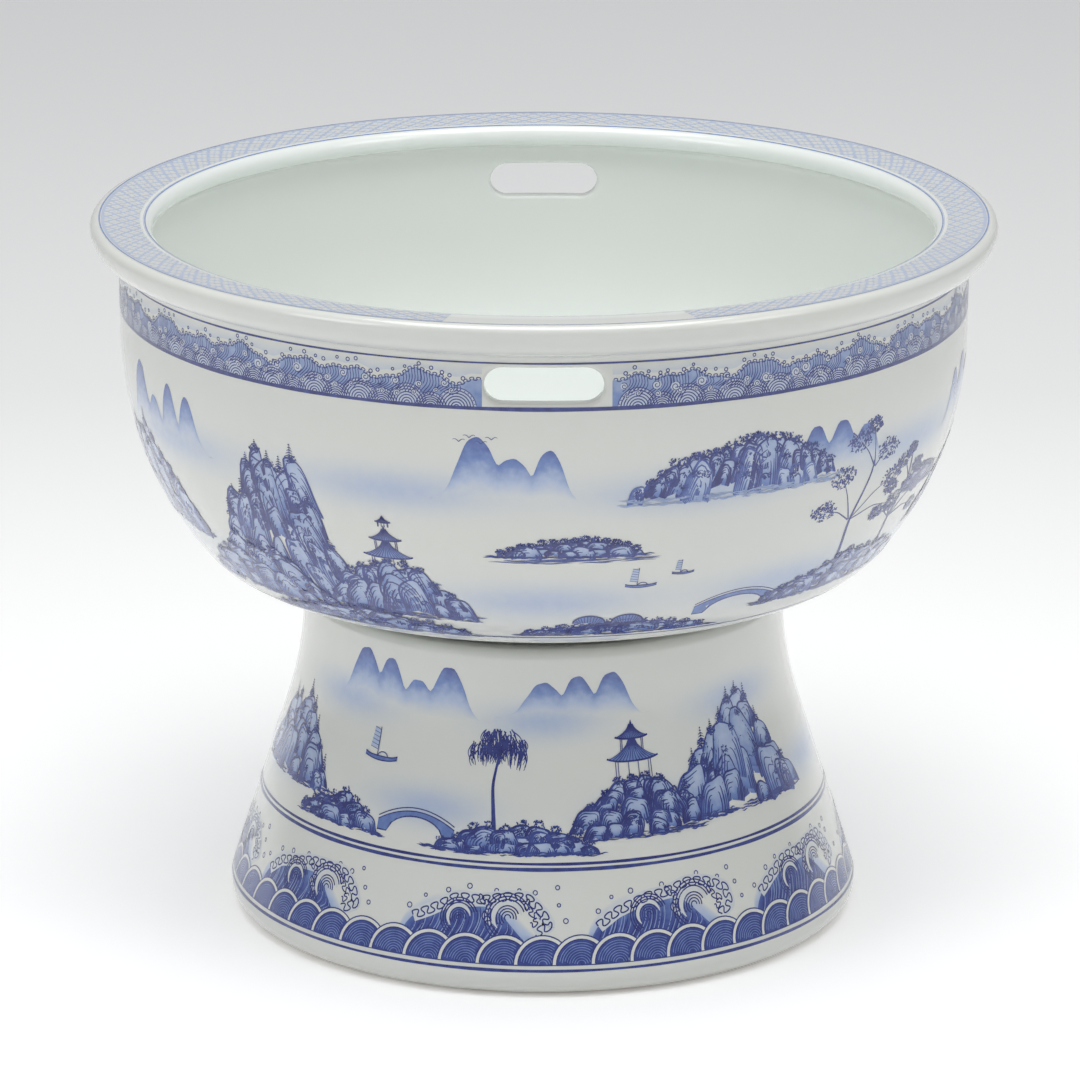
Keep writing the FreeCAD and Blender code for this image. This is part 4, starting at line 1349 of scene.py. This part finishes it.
# %% The bowl's landscape
def bowl_distance(name, place, seed):
    """Far peaks, a misty range, two islands, sails and birds; place turns a scene angle into one of the pot."""
    brush = LandBrush(body_face, BOWL_WASHES, seed)
    for deg, count, tall in ((-62, 4, 50), (-4, 3, 46), (38, 5, 54), (78, 3, 44)):
        far_range(brush, (place(deg), 380), count, tall)
    crag(brush, (place(27), 378), 150, 46, 6.5, 2.0, False, 16.0)
    island(brush, (place(4), 338), 96, 14)
    island(brush, (place(66), 346), 60, 11)
    for deg, z, size in ((14, 312, 11), (20, 320, 8)):
        boat(brush, (place(deg), z), size)
    birds(brush, (place(-9), 420), [(-10, 2), (-3, 5), (5, 1), (12, 4)], 4.2)
    return brush.finish(name, "bowl", "bowl_glaze", line_material)


def bowl_shore(name, place, seed):
    """Slopes at the far right, two pines on a bank, the bridge and a low shore with sheds."""
    brush = LandBrush(body_face, BOWL_WASHES, seed)
    crag(brush, (place(82), 312), 110, 58, 8.0, 1.5, True)
    brush.level = LIFT
    pine(brush, (place(49), 302), 112)
    pine(brush, (place(60), 300), 84)
    brush.level = LIFT
    crag(brush, (place(54), 282), 150, 34, 9.5, 0.9)
    brush.level = LIFT
    bridge(brush, (place(31), 288), 66)
    crag(brush, (place(12), 270), 120, 18, 9.0, 0.5)
    for deg in (7, 13):
        shed(brush, (place(deg), 281), 11)
    return brush.finish(name, "bowl", "bowl_glaze", line_material)


def bowl_cliff(name, place, seed):
    """The high crag on the left, lower ones before it, and a tiered tower on a spur."""
    brush = LandBrush(body_face, BOWL_WASHES, seed)
    crag(brush, (place(-72), 312), 120, 80, 8.5, 1.8, True)
    brush.level = LIFT
    crag(brush, (place(-40), 288), 96, 140, 7.5, 3.0, True)
    pavilion(brush, (place(-22), 329), 17, 3)
    crag(brush, (place(-22), 284), 92, 58, 8.0, 1.8)
    crag(brush, (place(-48), 280), 120, 52, 9.0, 1.4)
    crag(brush, (place(-30), 268), 150, 22, 9.5, 0.7)
    return brush.finish(name, "bowl", "bowl_glaze", line_material)


# %% The stand's landscape
def garden(name, place, seed):
    """A lake: willows and a bridge in the middle, a crag with a two-tiered roof right, firs left, one sail."""
    brush = LandBrush(stand_face, STAND_WASHES, seed)
    far_range(brush, (place(-34), 184), 4, 40)
    far_range(brush, (place(8), 188), 3, 36)
    crag(brush, (place(-68), 116), 100, 62, 9.0, 1.4, True)
    brush.level = LIFT
    crag(brush, (place(46), 112), 120, 84, 9.0, 1.6, True)
    pavilion(brush, (place(20), 155), 18, 2)
    crag(brush, (place(20), 108), 84, 52, 9.0, 1.1)
    brush.level = LIFT
    brush.stems([(0, 0), (-3, 34), (2, 62)], 3.2, (place(-10), 110))
    for x, y, spread in ((-10, 60, 10), (0, 68, 12), (11, 62, 10)):
        willow(brush, (place(-10), 110), x, y, spread, 150)
    bridge(brush, (place(-27), 110), 60)
    crag(brush, (place(-47), 100), 70, 22, 9.0, 0.7)
    crag(brush, (place(-6), 98), 110, 20, 10.0, 0.7)
    boat(brush, (place(-38), 150), 14)
    return brush.finish(name, "stand", "stand_glaze", line_material)


# %% Front and back
def to_front(deg):
    return deg


def to_back(deg):
    """The back of the pot shows the scene mirrored, so that both ends meet their like."""
    return 180 - deg


for side, place, seed in (("front", to_front, 31), ("back", to_back, 34)):
    bowl_distance("bowl_%s_distance" % side, place, seed)
    bowl_shore("bowl_%s_shore" % side, place, seed + 1)
    bowl_cliff("bowl_%s_cliff" % side, place, seed + 2)
    garden("stand_%s_garden" % side, place, seed + 10)

# %% [markdown]
# ## Floor, light and camera
# The pot stands on a pale sweep that runs up behind it. Large soft lamps either side and above keep the
# light even, the way a product is photographed, and leave long soft highlights on the lip.

# %% The sweep
def sweep():
    """A floor that curves up into a wall: a level run, a quarter circle and an upright, carried along X."""
    front, back, bend_r, top, half = -8000.0, 7500.0, 2000.0, 6000.0, 14000.0
    line = chain(run((front, -0.4), (back, -0.4), 20), arc((back, bend_r - 0.4), bend_r, -90, 0, 24),
                 run((back + bend_r, bend_r - 0.4), (back + bend_r, top), 4))
    x = np.linspace(-half, half, 13)
    points = np.stack([x + 0 * line[:, :1], line[:, :1] + 0 * x, line[:, 1:] + 0 * x], -1)
    return add_mesh("sweep", points.reshape(-1, 3), [grid_faces(len(line), len(x))])


backdrop = sweep()
paper = bpy.data.materials.new("pale_paper")
paper.use_nodes = True
tree = paper.node_tree
where = node(tree, "ShaderNodeTexCoord").outputs["Object"]
# Painted light: the paper is near white in front and fades to grey at the back and up the wall, as light falls off.
away = node(tree, "ShaderNodeMapRange", Value=node(tree, "ShaderNodeSeparateXYZ", Vector=where).outputs["Y"])
away.inputs["From Min"].default_value, away.inputs["From Max"].default_value = -0.6, 3.2
painted_falloff = ramp(tree, away.outputs["Result"], [(0.0, rgb(252, 252, 252)), (0.35, rgb(236, 236, 235)),
                                           (1.0, rgb(214, 214, 214))])
tree.nodes["Principled BSDF"].inputs["Roughness"].default_value = 0.9
tree.nodes["Principled BSDF"].inputs["Specular IOR Level"].default_value = 0.1
tree.links.new(painted_falloff, tree.nodes["Principled BSDF"].inputs["Base Color"])
# Painted glow: for camera, glossy and transmission rays the paper lights itself, more at some distances than
# others.
ray = node(tree, "ShaderNodeLightPath").outputs
seen_by = math_node(tree, "MAXIMUM", math_node(tree, "MAXIMUM", ray["Is Camera Ray"], ray["Is Glossy Ray"]),
                    ray["Is Transmission Ray"])
painted_glow = math_node(tree, "MULTIPLY", seen_by,
                 ramp(tree, away.outputs["Result"], [(at, (e, e, e, 1)) for at, e in
                                                     ((0.0, 0.22), (0.21, 0.36), (0.52, 0.22), (1.0, 0.34))]))
tree.links.new(painted_falloff, tree.nodes["Principled BSDF"].inputs["Emission Color"])
tree.links.new(painted_glow, tree.nodes["Principled BSDF"].inputs["Emission Strength"])
backdrop.data.materials.append(paper)

# %% Lamps
def softbox(name, place, aim, size, power):
    """A square soft lamp at place (metres) that faces aim."""
    lamp = bpy.data.lights.new(name, "AREA")
    lamp.shape, lamp.size, lamp.size_y, lamp.energy = "RECTANGLE", size[0], size[1], power
    box = bpy.data.objects.new(name, lamp)
    bpy.context.scene.collection.objects.link(box)
    direction = np.array(place) - np.array(aim)
    reach = math.hypot(direction[0], direction[1])
    box.location = place
    box.rotation_euler = (math.atan2(reach, direction[2]), 0, math.atan2(direction[0], -direction[1]))
    return box


softbox("right_box", (2.6, -1.6, 2.6), (0, 0, 0.35), (1.4, 1.4), 14)
softbox("left_box", (-2.6, -1.9, 2.0), (0, 0, 0.3), (1.4, 1.4), 15)
softbox("top_box", (0, -0.5, 3.3), (0, 0, 0.3), (2.6, 2.0), 60)
world = bpy.data.worlds.new("studio")
world.use_nodes = True
world.node_tree.nodes["Background"].inputs["Color"].default_value = (0.86, 0.88, 0.90, 1)
world.node_tree.nodes["Background"].inputs["Strength"].default_value = 0.48
bpy.context.scene.world = world

# %% Camera
camera_data = bpy.data.cameras.new("camera")
camera_data.sensor_width = 36.0
camera_data.lens = 212.35
camera = bpy.data.objects.new("camera", camera_data)
bpy.context.scene.collection.objects.link(camera)
camera.location = (-0.0042, -4.3722, 1.5796)
camera.rotation_euler = (math.radians(90 - 16.734), math.radians(-0.076), 0)
camera_data.clip_start, camera_data.clip_end = 0.1, 60
bpy.context.scene.camera = camera
bpy.context.scene.view_settings.view_transform = "Standard"
